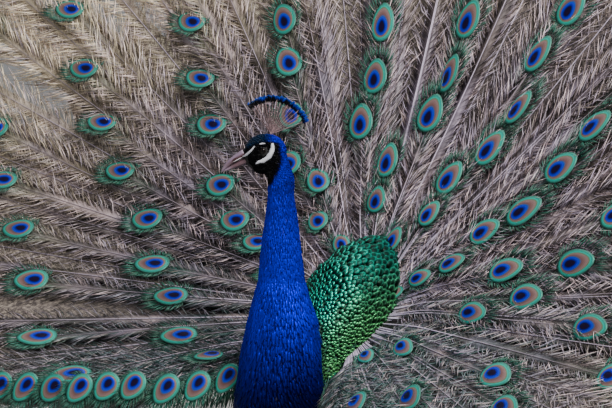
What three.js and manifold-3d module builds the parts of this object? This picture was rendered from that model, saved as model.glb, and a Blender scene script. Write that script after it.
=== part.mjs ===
// A life-size Indian peacock in full display, as a still museum model.
// The bird faces -Y, its left side is +X and +Z is up. Units are millimetres.
// Heights in the body are given relative to the eye, and the feet stand EYE_HEIGHT below it.
// The finished group is moved so that its origin is the middle of its footprint, on the floor.
import * as THREE from 'three';
import { mergeVertices } from 'three/addons/utils/BufferGeometryUtils.js';
import Module from 'manifold-3d';

const wasm = await Module();
wasm.setup();

// ---- driving dimensions -------------------------------------------------------------------
const EYE_HEIGHT = 820;          // eye above the floor
const HEAD_TURN = 50;            // degrees the head is turned to the bird's right
const HEAD_DROP = 6;             // degrees the bill points below level
const EYE_RADIUS = 5.6;
// The head's lumps and bill: places ahead of and above the middle of the skull, and half sizes.
const SKULL = { ahead: 3.5, above: 1.5, halves: [33, 18, 28.5], fine: [14, 8] };
const BROW = { ahead: 17, above: -5, halves: [22, 13, 16], fine: [10, 6] };
const THROAT = { ahead: 6, above: -17, halves: [23, 14.5, 14], fine: [10, 6] };
const BILL = {
  length: 43, ahead: 31, above: -4.5, drop: 30, hook: 5, upperHalves: [5.6, 6.6], lowerHalves: [3.2, 5.8],
};
const CREST = {
  feathers: 17, front: -36, back: 69, height: 55.5, tipWidth: 8.5, tipLength: 14, ahead: -5, above: 27.5,
};
const TRAIN_LEAN = 30;           // degrees the raised train leans back from upright
const TRAIN_HALF_SPAN = 124;     // degrees from the top feather to the lowest one
const TRAIN_SECTORS = 9;
const TRAIN_ROOT = new THREE.Vector3(0, 190, -259);
const TRAIN_TOP_RADIUS = 1330;
const TRAIN_SIDE_RADIUS = 1220;
const TRAIN_LOWEST = -418;       // level that the lowest feather tips reach
const TRAIN_SWEEP = 38;          // degrees the lowest feathers swing forward
const TRAIN_THICK_ROOT = 4;
const TRAIN_THICK_RIM = 1.6;
const TAIL = { radius: 430, halfSpan: 66, setBack: 26, thick: 2 };
const SHANK_LENGTH = 150;        // bare leg from the hock to the sole
const ANKLE_HEIGHT = 22;         // joint between the shank and the foot
const FOOT_Y = 163;              // sole centre behind the neck's axis
const FOOT_SPACING = 62;         // each foot's distance from the middle plane
const GAP = 0.3;                 // air left between parts that meet
const GROWTH = 0.7;              // how much a part is grown before it is cut from a neighbour
const BODY_SIDES = 18;

const rad = THREE.MathUtils.degToRad;
const smooth = THREE.MathUtils.smoothstep;
const X_AXIS = new THREE.Vector3(1, 0, 0);
const Y_AXIS = new THREE.Vector3(0, 1, 0);
const Z_AXIS = new THREE.Vector3(0, 0, 1);
const HEAD_YAW = rad(HEAD_TURN);
const HEAD_LEVEL = new THREE.Vector3(-Math.sin(HEAD_YAW), -Math.cos(HEAD_YAW), 0);
const HEAD_SIDE = new THREE.Vector3(Math.cos(HEAD_YAW), -Math.sin(HEAD_YAW), 0);
const SKULL_CENTRE = new THREE.Vector3(-14.5, -12.2, -7);

// ---- materials ----------------------------------------------------------------------------
function material(color, roughness, metalness = 0) {
  return new THREE.MeshStandardMaterial({ color, roughness, metalness });
}

const MATERIALS = {
  blue: material(0x0a2fa8, 0.55),
  face: material(0x10131c, 0.6),
  green: material(0x148a4c, 0.45),
  belly: material(0x1b2a24, 0.8),
  wing: material(0x8c7b62, 0.75),
  primaries: material(0x8a4a22, 0.75),
  bill: material(0x7b6a66, 0.45),
  eye: material(0x140b07, 0.08),
  leg: material(0x6f6558, 0.7),
  train: material(0x4c5a4a, 0.7),
  tail: material(0x5a4c3e, 0.8),
};

// ---- solids -------------------------------------------------------------------------------
const asSolid = (geometry) => {
  const bare = geometry.clone();
  bare.deleteAttribute('normal');
  bare.deleteAttribute('uv');
  const merged = mergeVertices(bare, 1e-4);
  return new wasm.Manifold(new wasm.Mesh({
    numProp: 3,
    vertProperties: new Float32Array(merged.attributes.position.array),
    triVerts: new Uint32Array(merged.index.array),
  }));
};

const asGeometry = (solid) => {
  const mesh = solid.getMesh();
  const geometry = new THREE.BufferGeometry();
  geometry.setAttribute('position', new THREE.BufferAttribute(new Float32Array(mesh.vertProperties), 3));
  geometry.setIndex(new THREE.BufferAttribute(new Uint32Array(mesh.triVerts), 1));
  geometry.computeVertexNormals();
  return geometry;
};

const largest = (solid) => {
  const pieces = solid.decompose();
  return pieces.reduce((best, piece) => (piece.volume() > best.volume() ? piece : best));
};

const union = (solids) => solids.reduce((sum, next) => sum.add(next));

// Points round an ellipse-like section. A power below 1 squares it and above 1 pinches it.
function section(centre, across, up, sides, power = 1) {
  const squeeze = (value) => Math.sign(value) * Math.abs(value) ** power;
  return Array.from({ length: sides }, (_, i) => {
    const turn = (2 * Math.PI * (i + 0.5)) / sides;
    return centre.clone()
      .addScaledVector(across, squeeze(Math.cos(turn)))
      .addScaledVector(up, squeeze(Math.sin(turn)));
  });
}

// A closed skin over a row of sections, with a fan of triangles over each end.
function loft(sections, firstTip, lastTip) {
  const sides = sections[0].length;
  const points = sections.flat();
  const mean = (ring) => ring.reduce((sum, p) => sum.add(p), new THREE.Vector3()).divideScalar(sides);
  const first = points.push(firstTip ?? mean(sections[0])) - 1;
  const last = points.push(lastTip ?? mean(sections.at(-1))) - 1;
  const index = [];
  for (let ring = 0; ring < sections.length - 1; ring += 1) {
    for (let i = 0; i < sides; i += 1) {
      const j = (i + 1) % sides;
      const a = ring * sides + i;
      const b = ring * sides + j;
      index.push(a, b, b + sides, a, b + sides, a + sides);
    }
  }
  const end = (sections.length - 1) * sides;
  for (let i = 0; i < sides; i += 1) {
    const j = (i + 1) % sides;
    index.push(first, j, i, last, end + i, end + j);
  }
  const geometry = new THREE.BufferGeometry();
  geometry.setAttribute('position', new THREE.Float32BufferAttribute(points.flatMap((p) => p.toArray()), 3));
  geometry.setIndex(index);
  return outward(geometry);
}

// Turns a closed geometry's faces outward, so that its volume is positive.
function outward(geometry) {
  const place = geometry.attributes.position;
  const index = geometry.index.array;
  const corner = [new THREE.Vector3(), new THREE.Vector3(), new THREE.Vector3()];
  let volume = 0;
  for (let i = 0; i < index.length; i += 3) {
    corner.forEach((p, k) => p.fromBufferAttribute(place, index[i + k]));
    volume += corner[0].dot(corner[1].clone().cross(corner[2]));
  }
  if (volume < 0) {
    for (let i = 0; i < index.length; i += 3) {
      [index[i], index[i + 1]] = [index[i + 1], index[i]];
    }
  }
  return geometry;
}

// An ellipsoid with its own axes, as a solid.
function ellipsoid(centre, long, side, up, sizes, wide = 16, high = 10) {
  const basis = new THREE.Matrix4().makeBasis(long, side, up).setPosition(centre);
  const ball = new THREE.SphereGeometry(1, wide, high);
  ball.scale(sizes[0], sizes[1], sizes[2]);
  ball.applyMatrix4(basis);
  return asSolid(ball);
}

// A thin box that parts a solid, given by its middle, its size and its tilt about X.
function slab(centre, width, depth, tilt) {
  const box = new THREE.BoxGeometry(width, depth, GAP);
  box.rotateX(tilt);
  box.translate(centre.x, centre.y, centre.z);
  return asSolid(box);
}

// ---- the body's four lofts ----------------------------------------------------------------
// Neck and breast, from the nape down: height, half width, half depth, middle of the depth.
const NECK = [
  [-14, 17.5, 18.5, -3], [-43, 19.5, 20, 1], [-72, 21.5, 21.5, 1], [-101, 25.5, 25.5, 2],
  [-130, 29.5, 29.5, 1], [-160, 33, 32.5, 1], [-191, 36, 35.5, 2], [-218, 43, 43, 2],
  [-250, 53, 52, 4], [-290, 60, 58, 1], [-335, 64, 64, -2], [-380, 70, 82, 7],
  [-425, 72, 90, 31], [-460, 59, 77, 50], [-484, 36, 50, 66],
];

// Trunk, from the breast back: distance, top, bottom, half width.
const TRUNK = [
  [20, -302, -450, 48], [58, -290, -486, 72], [105, -285, -490, 79], [155, -285, -478, 77],
  [205, -285, -448, 67], [250, -288, -404, 50], [282, -295, -355, 30],
];

// Raised saddle feathers, from the nape's foot back: distance, top, bottom, half width.
const SADDLE = [
  [45, -264, -360, 38], [73, -230, -378, 55], [112, -184, -388, 65], [157, -160, -388, 67],
  [200, -151, -378, 63], [238, -150, -358, 53], [268, -160, -330, 39], [286, -184, -304, 24],
];

function neckSolid(grow) {
  const rings = NECK.map(([z, halfWidth, halfDepth, middle], i) => {
    const lean = i === 0 ? -7 : 0;
    const lift = i === 0 ? grow : 0;
    const centre = new THREE.Vector3(lean, middle, z + lift);
    const across = X_AXIS.clone().multiplyScalar(halfWidth + grow);
    return section(centre, across, Y_AXIS.clone().multiplyScalar(halfDepth + grow), BODY_SIDES);
  });
  return asSolid(loft(rings, null, new THREE.Vector3(0, 72, -490 - grow)));
}

function alongBack(table, grow, power, tip) {
  const rings = table.map(([y, top, bottom, halfWidth]) => section(
    new THREE.Vector3(0, y, (top + bottom) / 2), X_AXIS.clone().multiplyScalar(halfWidth + grow),
    Z_AXIS.clone().multiplyScalar((top - bottom) / 2 + grow), BODY_SIDES, power));
  return asSolid(loft(rings, null, tip));
}

function headSolid(grow) {
  const drop = rad(HEAD_DROP);
  const forward = HEAD_LEVEL.clone().multiplyScalar(Math.cos(drop)).addScaledVector(Z_AXIS, -Math.sin(drop));
  const up = HEAD_SIDE.clone().cross(forward).normalize();
  if (up.z < 0) up.negate();
  const side = up.clone().cross(forward);
  const lump = ({ ahead, above, halves, fine }) => ellipsoid(
    SKULL_CENTRE.clone().addScaledVector(forward, ahead).addScaledVector(up, above),
    forward, side, up, halves.map((half) => half + grow), ...fine);
  return union([lump(SKULL), lump(BROW), lump(THROAT)]);
}

function bodySolid(grow) {
  return union([
    neckSolid(grow),
    alongBack(TRUNK, grow, 1, new THREE.Vector3(0, 300 + grow, -322)),
    alongBack(SADDLE, grow, 1, new THREE.Vector3(0, 292 + grow, -245)),
    headSolid(grow),
  ]);
}

// ---- the raised train ---------------------------------------------------------------------
const LEAN = rad(TRAIN_LEAN);
const TRAIN_UP = new THREE.Vector3(0, Math.sin(LEAN), Math.cos(LEAN));
const TRAIN_FRONT = new THREE.Vector3(0, -Math.cos(LEAN), Math.sin(LEAN));
const FORWARD = new THREE.Vector3(0, -1, 0);

// Where a feather starts and which way it leaves, at an angle from the top feather.
function featherLine(angle) {
  const low = smooth(Math.abs(angle), rad(75), rad(TRAIN_HALF_SPAN));
  const sweep = rad(TRAIN_SWEEP) * low;
  const flat = X_AXIS.clone().multiplyScalar(Math.sin(angle)).addScaledVector(TRAIN_UP, Math.cos(angle));
  const way = flat.multiplyScalar(Math.cos(sweep)).addScaledVector(FORWARD, Math.sin(sweep)).normalize();
  const root = TRAIN_ROOT.clone().add(new THREE.Vector3(30 * Math.sign(angle) * low, -70 * low, -40 * low));
  return { root, way };
}

// A point of the train's sheet, which is dished a little and droops at the sides.
function trainPoint(distance, angle) {
  const { root, way } = featherLine(angle);
  const cup = 0.1e-3 * distance ** 2;
  const droop = 0.04e-3 * distance ** 2 * Math.sin(angle) ** 2;
  return root
    .addScaledVector(way, distance)
    .addScaledVector(TRAIN_FRONT, cup)
    .addScaledVector(Z_AXIS, -droop);
}

function trainNormal(distance, angle) {
  const out = trainPoint(distance + 1, angle).sub(trainPoint(distance - 1, angle));
  const across = trainPoint(distance, angle + 0.002).sub(trainPoint(distance, angle - 0.002));
  return across.cross(out).normalize();
}

// The rim: longest at the top, cut off level where feathers point down, and scalloped at each tip.
function trainRadius(angle) {
  const { root, way } = featherLine(angle);
  const round = THREE.MathUtils.lerp(TRAIN_TOP_RADIUS, TRAIN_SIDE_RADIUS, Math.sin(angle) ** 2);
  const level = (TRAIN_LOWEST - root.z) / Math.min(way.z, -1e-3);
  const radius = (round ** -4 + level ** -4) ** -0.25;
  return radius - 14 * Math.cos(angle * 40);
}

// A closed shell over a patch of the sheet. place(distance share, angle) gives its front face.
function shell(rows, columns, place, normal, thickness) {
  const points = [];
  const index = [];
  const at = (face, row, column) => face * (rows + 1) * (columns + 1) + row * (columns + 1) + column;
  for (let face = 0; face < 2; face += 1) {
    for (let row = 0; row <= rows; row += 1) {
      for (let column = 0; column <= columns; column += 1) {
        const offset = thickness(row / rows) * (0.5 - face);
        points.push(place(row / rows, column / columns)
          .addScaledVector(normal(row / rows, column / columns), offset));
      }
    }
  }
  const quad = (a, b, c, d) => index.push(a, b, c, a, c, d);
  for (let row = 0; row < rows; row += 1) {
    for (let column = 0; column < columns; column += 1) {
      quad(at(0, row, column), at(0, row, column + 1), at(0, row + 1, column + 1), at(0, row + 1, column));
      quad(at(1, row, column), at(1, row + 1, column), at(1, row + 1, column + 1), at(1, row, column + 1));
    }
    quad(at(0, row, 0), at(0, row + 1, 0), at(1, row + 1, 0), at(1, row, 0));
    quad(at(0, row + 1, columns), at(0, row, columns), at(1, row, columns), at(1, row + 1, columns));
  }
  for (let column = 0; column < columns; column += 1) {
    quad(at(0, 0, column + 1), at(0, 0, column), at(1, 0, column), at(1, 0, column + 1));
    quad(at(0, rows, column), at(0, rows, column + 1), at(1, rows, column + 1), at(1, rows, column));
  }
  const geometry = new THREE.BufferGeometry();
  geometry.setAttribute('position', new THREE.Float32BufferAttribute(points.flatMap((p) => p.toArray()), 3));
  geometry.setIndex(index);
  return outward(geometry);
}

function trainSector(from, to, extra) {
  const start = 45;
  const spot = (share, along) => {
    const middle = THREE.MathUtils.lerp(from, to, along);
    const distance = THREE.MathUtils.lerp(start, trainRadius(middle), share ** 1.3);
    const inset = (extra ? 0 : (0.6 * GAP) / distance) * (1 - 2 * along);
    return [distance, middle + inset];
  };
  const thickness = (share) => THREE.MathUtils.lerp(TRAIN_THICK_ROOT, TRAIN_THICK_RIM, share) + 2 * extra;
  return asSolid(shell(3, 12, (share, along) => trainPoint(...spot(share, along)),
    (share, along) => trainNormal(...spot(share, along)), thickness));
}

const SECTOR_SPAN = (2 * rad(TRAIN_HALF_SPAN)) / TRAIN_SECTORS;
const sectorStart = (i) => -rad(TRAIN_HALF_SPAN) + i * SECTOR_SPAN;

// The stiff brown tail that props the train from behind.
function tailSolid() {
  const halfSpan = rad(TAIL.halfSpan);
  const spot = (share, along) => {
    const angle = THREE.MathUtils.lerp(-halfSpan, halfSpan, along);
    const rim = TAIL.radius - 8 * Math.cos(angle * 26);
    return [THREE.MathUtils.lerp(90, rim, share), angle];
  };
  const normal = (share, along) => trainNormal(...spot(share, along));
  const place = (share, along) => trainPoint(...spot(share, along))
    .addScaledVector(normal(share, along), -TAIL.setBack);
  return asSolid(shell(2, 24, place, normal, () => TAIL.thick));
}

// ---- head details -------------------------------------------------------------------------
function headFrame() {
  const drop = rad(BILL.drop);
  const forward = HEAD_LEVEL.clone().multiplyScalar(Math.cos(drop)).addScaledVector(Z_AXIS, -Math.sin(drop));
  const side = HEAD_SIDE.clone();
  const up = side.clone().cross(forward).normalize();
  if (up.z < 0) up.negate();
  return { forward, side, up };
}

// One half of the bill: sections from the gape to the tip. The upper half hooks over the lower.
function billSolid(upper) {
  const { forward, side, up } = headFrame();
  const base = SKULL_CENTRE.clone()
    .addScaledVector(HEAD_LEVEL, BILL.ahead)
    .addScaledVector(Z_AXIS, BILL.above);
  const sign = upper ? 1 : -1;
  const length = upper ? BILL.length : BILL.length - BILL.hook;
  const [halfHeight, halfWidth] = upper ? BILL.upperHalves : BILL.lowerHalves;
  const steps = 7;
  const rings = Array.from({ length: steps }, (_, i) => {
    const share = i / (steps - 1);
    const taper = Math.sqrt(1 - (0.97 * share) ** 2.2);
    const high = halfHeight * taper;
    const wide = halfWidth * taper;
    const hook = upper ? 3.6 * share ** 3 : 1.2 * share ** 2;
    const centre = base.clone()
      .addScaledVector(forward, share * length)
      .addScaledVector(up, sign * (high + 0.5 * GAP) - hook);
    return section(centre, side.clone().multiplyScalar(wide), up.clone().multiplyScalar(high), 10, 0.9);
  });
  return asSolid(loft(rings));
}

function eyeCentre(sign) {
  return SKULL_CENTRE.clone()
    .addScaledVector(HEAD_LEVEL, 6.5)
    .addScaledVector(HEAD_SIDE, sign * 13.2)
    .addScaledVector(Z_AXIS, 4.5);
}

function eyeSolid(sign, grow) {
  return ellipsoid(eyeCentre(sign), X_AXIS, Y_AXIS, Z_AXIS,
    [EYE_RADIUS + grow, EYE_RADIUS + grow, EYE_RADIUS + grow], 10, 6);
}

// The fan crest: bare shafts from one root, each with a spatulate tip.
function crestSolid() {
  const root = SKULL_CENTRE.clone()
    .addScaledVector(HEAD_LEVEL, CREST.ahead)
    .addScaledVector(Z_AXIS, CREST.above);
  const shaft = (i) => {
    const share = i / (CREST.feathers - 1);
    const angle = rad(THREE.MathUtils.lerp(CREST.front, CREST.back, share));
    const way = Z_AXIS.clone()
      .multiplyScalar(Math.cos(angle))
      .addScaledVector(HEAD_LEVEL, -Math.sin(angle));
    const across = HEAD_LEVEL.clone()
      .multiplyScalar(Math.cos(angle))
      .addScaledVector(Z_AXIS, Math.sin(angle));
    const splay = 3.2 * (i % 3 - 1);
    const length = CREST.height + 3 * Math.sin(i * 2.1) + 3 * share;
    const stalk = length - CREST.tipLength;
    const stops = [
      [0, 0.7], [stalk, 0.55], [stalk + 0.6 * CREST.tipLength, 0.5 * CREST.tipWidth],
      [length, 0.16 * CREST.tipWidth],
    ];
    const rings = stops.map(([distance, half]) => {
      const centre = root.clone().addScaledVector(way, distance)
        .addScaledVector(HEAD_SIDE, splay * (distance / length));
      return section(centre, across.clone().multiplyScalar(half), HEAD_SIDE.clone().multiplyScalar(0.55), 4);
    });
    return asSolid(loft(rings));
  };
  const tuft = ellipsoid(root, HEAD_LEVEL, HEAD_SIDE, Z_AXIS, [9, 4, 4], 10, 6);
  return union([tuft, ...Array.from({ length: CREST.feathers }, (_, i) => shaft(i))]);
}

// ---- wings and legs -----------------------------------------------------------------------
// A folded wing lies along the flank, lower at the back.
function wingSolid(sign) {
  const tilt = rad(-20);
  const long = new THREE.Vector3(0.05 * sign, Math.cos(tilt), Math.sin(tilt)).normalize();
  const across = X_AXIS.clone().addScaledVector(long, -long.x).normalize();
  const up = long.clone().cross(across).normalize();
  const centre = new THREE.Vector3(sign * 66, 145, -402);
  return ellipsoid(centre, long, across, up, [132, 27, 62], 14, 8);
}

// The flight feathers droop from the wing's hind end in a tapering blade.
function primariesSolid(sign) {
  const steps = 7;
  const rings = Array.from({ length: steps }, (_, i) => {
    const share = i / (steps - 1);
    const centre = new THREE.Vector3(sign * (78 + 16 * share), 225 + 150 * share, -440 - 125 * share);
    const half = 48 * Math.sqrt(1 - (0.96 * share) ** 2) * (0.75 + 0.25 * share);
    const up = new THREE.Vector3(0, 0.55, 0.83).multiplyScalar(half);
    return section(centre, X_AXIS.clone().multiplyScalar(7 - 4.5 * share), up, 10, 0.8);
  });
  return asSolid(loft(rings));
}

const HOCK = { y: FOOT_Y + 36, z: SHANK_LENGTH + 8 - EYE_HEIGHT };

function limb(from, to, radii, sides, depth = 1) {
  const way = to.clone().sub(from);
  const across = X_AXIS.clone().addScaledVector(way, -way.x / way.lengthSq()).normalize();
  const fore = way.clone().normalize().cross(across).normalize();
  const rings = radii.map((radius, i) => section(
    from.clone().addScaledVector(way, i / (radii.length - 1)),
    across.clone().multiplyScalar(radius), fore.clone().multiplyScalar(radius * depth), sides));
  return asSolid(loft(rings));
}

function thighSolid(sign) {
  const hip = new THREE.Vector3(sign * 46, 132, -440);
  const hock = new THREE.Vector3(sign * FOOT_SPACING, HOCK.y, HOCK.z + 12);
  return limb(hip, hock, [36, 41, 40, 34, 27, 19, 12, 8], 14, 1.25);
}

function shankSolid(sign) {
  const hock = new THREE.Vector3(sign * FOOT_SPACING, HOCK.y, HOCK.z + 11);
  const ankle = new THREE.Vector3(sign * FOOT_SPACING, FOOT_Y + 5, ANKLE_HEIGHT - 6 - EYE_HEIGHT);
  const bone = limb(hock, ankle, [7.5, 9, 7.2, 6.2, 6, 6.2, 7.2, 7.6], 8, 1.1);
  const spurRoot = hock.clone().lerp(ankle, 0.66);
  const spurTip = spurRoot.clone().add(new THREE.Vector3(-sign * 7, 24, 7));
  const shank = bone.add(limb(spurRoot, spurTip, [4.6, 3.6, 2.2, 0.8], 6));
  return shank.subtract(levelBlock(ankle, ANKLE_HEIGHT - EYE_HEIGHT, -1));
}

// A block of space above or below a height, round a point, to cut a part off level.
function levelBlock(point, height, way) {
  const block = new THREE.BoxGeometry(400, 400, 60);
  block.translate(point.x, point.y, height + 30 * way);
  return asSolid(block);
}

// Toe: length, turn from straight ahead in degrees, and thickness at its root.
const TOES = [[82, 0, 6.4], [62, 38, 6], [60, -36, 6], [30, 168, 4.8]];

// The sole is cut flat at floor level, so that every toe pad rests on it.
function footSolid(sign) {
  const floor = -EYE_HEIGHT;
  const heart = new THREE.Vector3(sign * FOOT_SPACING, FOOT_Y, floor + 9);
  const pad = ellipsoid(heart, X_AXIS, Y_AXIS, Z_AXIS, [11, 13, 11.5], 10, 6);
  const ankle = new THREE.Vector3(sign * FOOT_SPACING, FOOT_Y + 7, floor + ANKLE_HEIGHT + 6);
  const neck = limb(heart, ankle, [9, 8, 7.4], 8);
  const toes = TOES.map(([length, turn, thick]) => {
    const angle = rad(turn * sign);
    const way = new THREE.Vector3(-Math.sin(angle), -Math.cos(angle), 0);
    const side = new THREE.Vector3(way.y, -way.x, 0);
    const steps = 6;
    const rings = Array.from({ length: steps }, (_, i) => {
      const share = i / (steps - 1);
      const claw = smooth(share, 0.74, 0.82);
      const knuckle = 1 + 0.1 * Math.cos(share * 8 * Math.PI * 0.74);
      const round = thick * THREE.MathUtils.lerp((1 - 0.32 * share) * knuckle, 2.9 * (1.02 - share), claw);
      const height = floor + THREE.MathUtils.lerp(round - 1, 3.6 - 2.4 * (share - 0.8), claw);
      const centre = new THREE.Vector3(heart.x, heart.y, height).addScaledVector(way, share * length);
      return section(centre, side.clone().multiplyScalar(Math.max(0.7, round)),
        Z_AXIS.clone().multiplyScalar(Math.max(0.8, round)), 6);
    });
    return asSolid(loft(rings));
  });
  return union([pad, neck, ...toes])
    .subtract(levelBlock(heart, floor, -1))
    .subtract(levelBlock(heart, floor + ANKLE_HEIGHT - GAP, 1));
}

// ---- the whole bird, parted into nodes ----------------------------------------------------
const bird = new THREE.Group();

function addNode(name, solid, look) {
  const node = new THREE.Mesh(asGeometry(solid), MATERIALS[look]);
  node.name = name;
  bird.add(node);
}

const grownBody = bodySolid(GROWTH);

function addBody() {
  const neckBase = slab(new THREE.Vector3(0, 3, -294), 200, 215, Math.atan2(107, 117));
  const cuts = [
    slab(new THREE.Vector3(0, 0, -50), 120, 120, 0),
    slab(new THREE.Vector3(0, 0, -132), 120, 120, 0),
    slab(new THREE.Vector3(0, -5, -215), 160, 134, 0),
    neckBase,
    slab(new THREE.Vector3(0, 158, -305), 240, 352, 0),
  ];
  const eyes = union([eyeSolid(1, GAP), eyeSolid(-1, GAP)]);
  const parts = bodySolid(0).subtract(union(cuts)).subtract(eyes).decompose();
  const height = (solid) => {
    const box = solid.boundingBox();
    return box.max[2];
  };
  const ordered = parts.filter((piece) => piece.volume() > 500).sort((a, b) => height(b) - height(a));
  const names = [['head', 'face'], ['neck_upper', 'blue'], ['neck_middle', 'blue'], ['back', 'green'],
    ['neck_lower', 'blue'], ['trunk', 'belly']];
  ordered.forEach((piece, i) => addNode(...[names[i][0], piece, names[i][1]]));
}

function addHead() {
  const grownHead = headSolid(GROWTH);
  const upperBill = largest(billSolid(true).subtract(grownHead));
  const lowerBill = billSolid(false).subtract(grownHead).subtract(upperBill);
  addNode('bill_upper', upperBill, 'bill');
  addNode('bill_lower', largest(lowerBill.subtract(upperBill.translate([0, 0, -GAP]))), 'bill');
  addNode('eye_left', eyeSolid(1, 0), 'eye');
  addNode('eye_right', eyeSolid(-1, 0), 'eye');
  addNode('crest', largest(crestSolid().subtract(grownHead)), 'blue');
}

function addTrain() {
  for (let i = 0; i < TRAIN_SECTORS; i += 1) {
    const sector = trainSector(sectorStart(i), sectorStart(i + 1), 0);
    addNode(`train_${i + 1}`, largest(sector.subtract(grownBody)), 'train');
  }
  addNode('tail', largest(tailSolid().subtract(grownBody)), 'tail');
}

function addLimbs() {
  const clearTrain = union(Array.from({ length: TRAIN_SECTORS }, (_, i) => trainSector(
    sectorStart(i), sectorStart(i + 1), 1.5)));
  [['left', 1], ['right', -1]].forEach(([side, sign]) => {
    const wing = largest(wingSolid(sign).subtract(grownBody).subtract(clearTrain));
    const thigh = largest(thighSolid(sign).subtract(grownBody));
    const wingCut = wingGrown(sign);
    addNode(`wing_${side}`, largest(wing.subtract(thighGrown(sign))), 'wing');
    const blade = primariesSolid(sign).subtract(grownBody).subtract(wingCut).subtract(thighGrown(sign));
    addNode(`primaries_${side}`, largest(blade), 'primaries');
    addNode(`thigh_${side}`, thigh, 'belly');
    addNode(`shank_${side}`, largest(shankSolid(sign).subtract(thighGrown(sign))), 'leg');
    addNode(`foot_${side}`, footSolid(sign), 'leg');
  });
}

// The wing and thigh swollen a little, to cut their neighbours back with a gap.
function wingGrown(sign) {
  return scaledAbout(wingSolid(sign), 1.02);
}

function thighGrown(sign) {
  return scaledAbout(thighSolid(sign), 1.015);
}

function scaledAbout(solid, factor) {
  const { min, max } = solid.boundingBox();
  const middle = min.map((low, i) => (low + max[i]) / 2);
  return solid.translate(middle.map((v) => -v)).scale(factor).translate(middle);
}

addBody();
addHead();
addTrain();
addLimbs();

const extent = new THREE.Box3().setFromObject(bird);
bird.position.set(-(extent.min.x + extent.max.x) / 2, -(extent.min.y + extent.max.y) / 2, -extent.min.z);

export default bird;
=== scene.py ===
"""The looks of a life-size displaying peacock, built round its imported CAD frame.

The bird faces -Y, its left side is +X and +Z is up. Places are given in metres from a point in the
middle plane at eye level over the neck, which is worked out from the two eyes of the frame.
"""
import math

import bpy
import numpy as np
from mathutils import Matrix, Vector
from mathutils.bvhtree import BVHTree
from mathutils.kdtree import KDTree


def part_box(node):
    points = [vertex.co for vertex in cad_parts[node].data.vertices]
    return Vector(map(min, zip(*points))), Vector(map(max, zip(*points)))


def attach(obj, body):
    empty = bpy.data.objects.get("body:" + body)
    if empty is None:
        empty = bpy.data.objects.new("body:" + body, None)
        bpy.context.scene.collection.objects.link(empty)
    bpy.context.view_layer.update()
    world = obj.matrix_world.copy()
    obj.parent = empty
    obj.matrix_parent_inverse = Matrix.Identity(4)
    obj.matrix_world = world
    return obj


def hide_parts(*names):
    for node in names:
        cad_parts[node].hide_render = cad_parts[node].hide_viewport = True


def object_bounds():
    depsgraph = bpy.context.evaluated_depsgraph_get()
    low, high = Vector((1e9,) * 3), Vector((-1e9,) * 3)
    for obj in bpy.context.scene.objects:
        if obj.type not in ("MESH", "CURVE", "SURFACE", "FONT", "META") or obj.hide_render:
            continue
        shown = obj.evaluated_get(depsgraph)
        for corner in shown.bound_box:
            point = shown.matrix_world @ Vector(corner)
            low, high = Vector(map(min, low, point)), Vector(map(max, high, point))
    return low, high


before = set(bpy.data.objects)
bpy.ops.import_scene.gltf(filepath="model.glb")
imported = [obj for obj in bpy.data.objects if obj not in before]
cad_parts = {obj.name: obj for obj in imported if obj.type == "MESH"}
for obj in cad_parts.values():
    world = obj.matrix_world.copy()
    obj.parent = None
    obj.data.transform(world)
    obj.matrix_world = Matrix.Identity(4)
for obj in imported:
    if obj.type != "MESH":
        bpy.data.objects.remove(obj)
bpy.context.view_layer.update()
rng = np.random.default_rng(20)

# ---- driving dimensions, all in metres and the same as the solids' ----------------------------
HEAD_TURN = math.radians(50)
HEAD_FRONT = np.array([-math.sin(HEAD_TURN), -math.cos(HEAD_TURN), 0.0])
HEAD_SIDE = np.array([math.cos(HEAD_TURN), -math.sin(HEAD_TURN), 0.0])
UP = np.array([0.0, 0.0, 1.0])
EYES_FROM_ORIGIN = np.array([-0.01948, -0.01638, -0.0025])
SKULL = np.array([-0.0145, -0.0122, -0.007])
LEAN = math.radians(30)
HALF_SPAN = math.radians(124)
TRAIN_ROOT = np.array([0.0, 0.190, -0.259])
TOP_RADIUS, SIDE_RADIUS = 1.33, 1.22
LOWEST_TIP = -0.418
LOW_ROW = -0.366
SWEEP = math.radians(38)

VIEW_AZIMUTH = math.radians(40)
VIEW_ELEVATION = math.radians(7)
VIEW_DISTANCE = 4.5
VIEW_LENS = 182.6


def node_middle(name):
    low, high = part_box(name)
    return np.array((low + high) / 2)


ORIGIN = (node_middle("eye_left") + node_middle("eye_right")) / 2 - EYES_FROM_ORIGIN


# ---- small tools ------------------------------------------------------------------------------
def srgb(red, green, blue):
    """A colour given in 0 to 255 display values, as linear light."""
    c = np.array([red, green, blue]) / 255
    return np.where(c <= 0.04045, c / 12.92, ((c + 0.055) / 1.055) ** 2.4)


def smoothstep(x, low, high):
    t = np.clip((np.asarray(x, float) - low) / (high - low), 0, 1)
    return t * t * (3 - 2 * t)


def mix(a, b, t):
    t = np.asarray(t)[..., None]
    return np.asarray(a) * (1 - t) + np.asarray(b) * t


def unit(v):
    return v / np.maximum(np.linalg.norm(v, axis=-1, keepdims=True), 1e-12)


def across_part(v, axis):
    """What is left of v across a unit axis, as a unit vector."""
    return unit(v - (v * axis).sum(-1, keepdims=True) * axis)


def vary(count, spread):
    return 1 + spread * rng.uniform(-1, 1, count)


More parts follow.
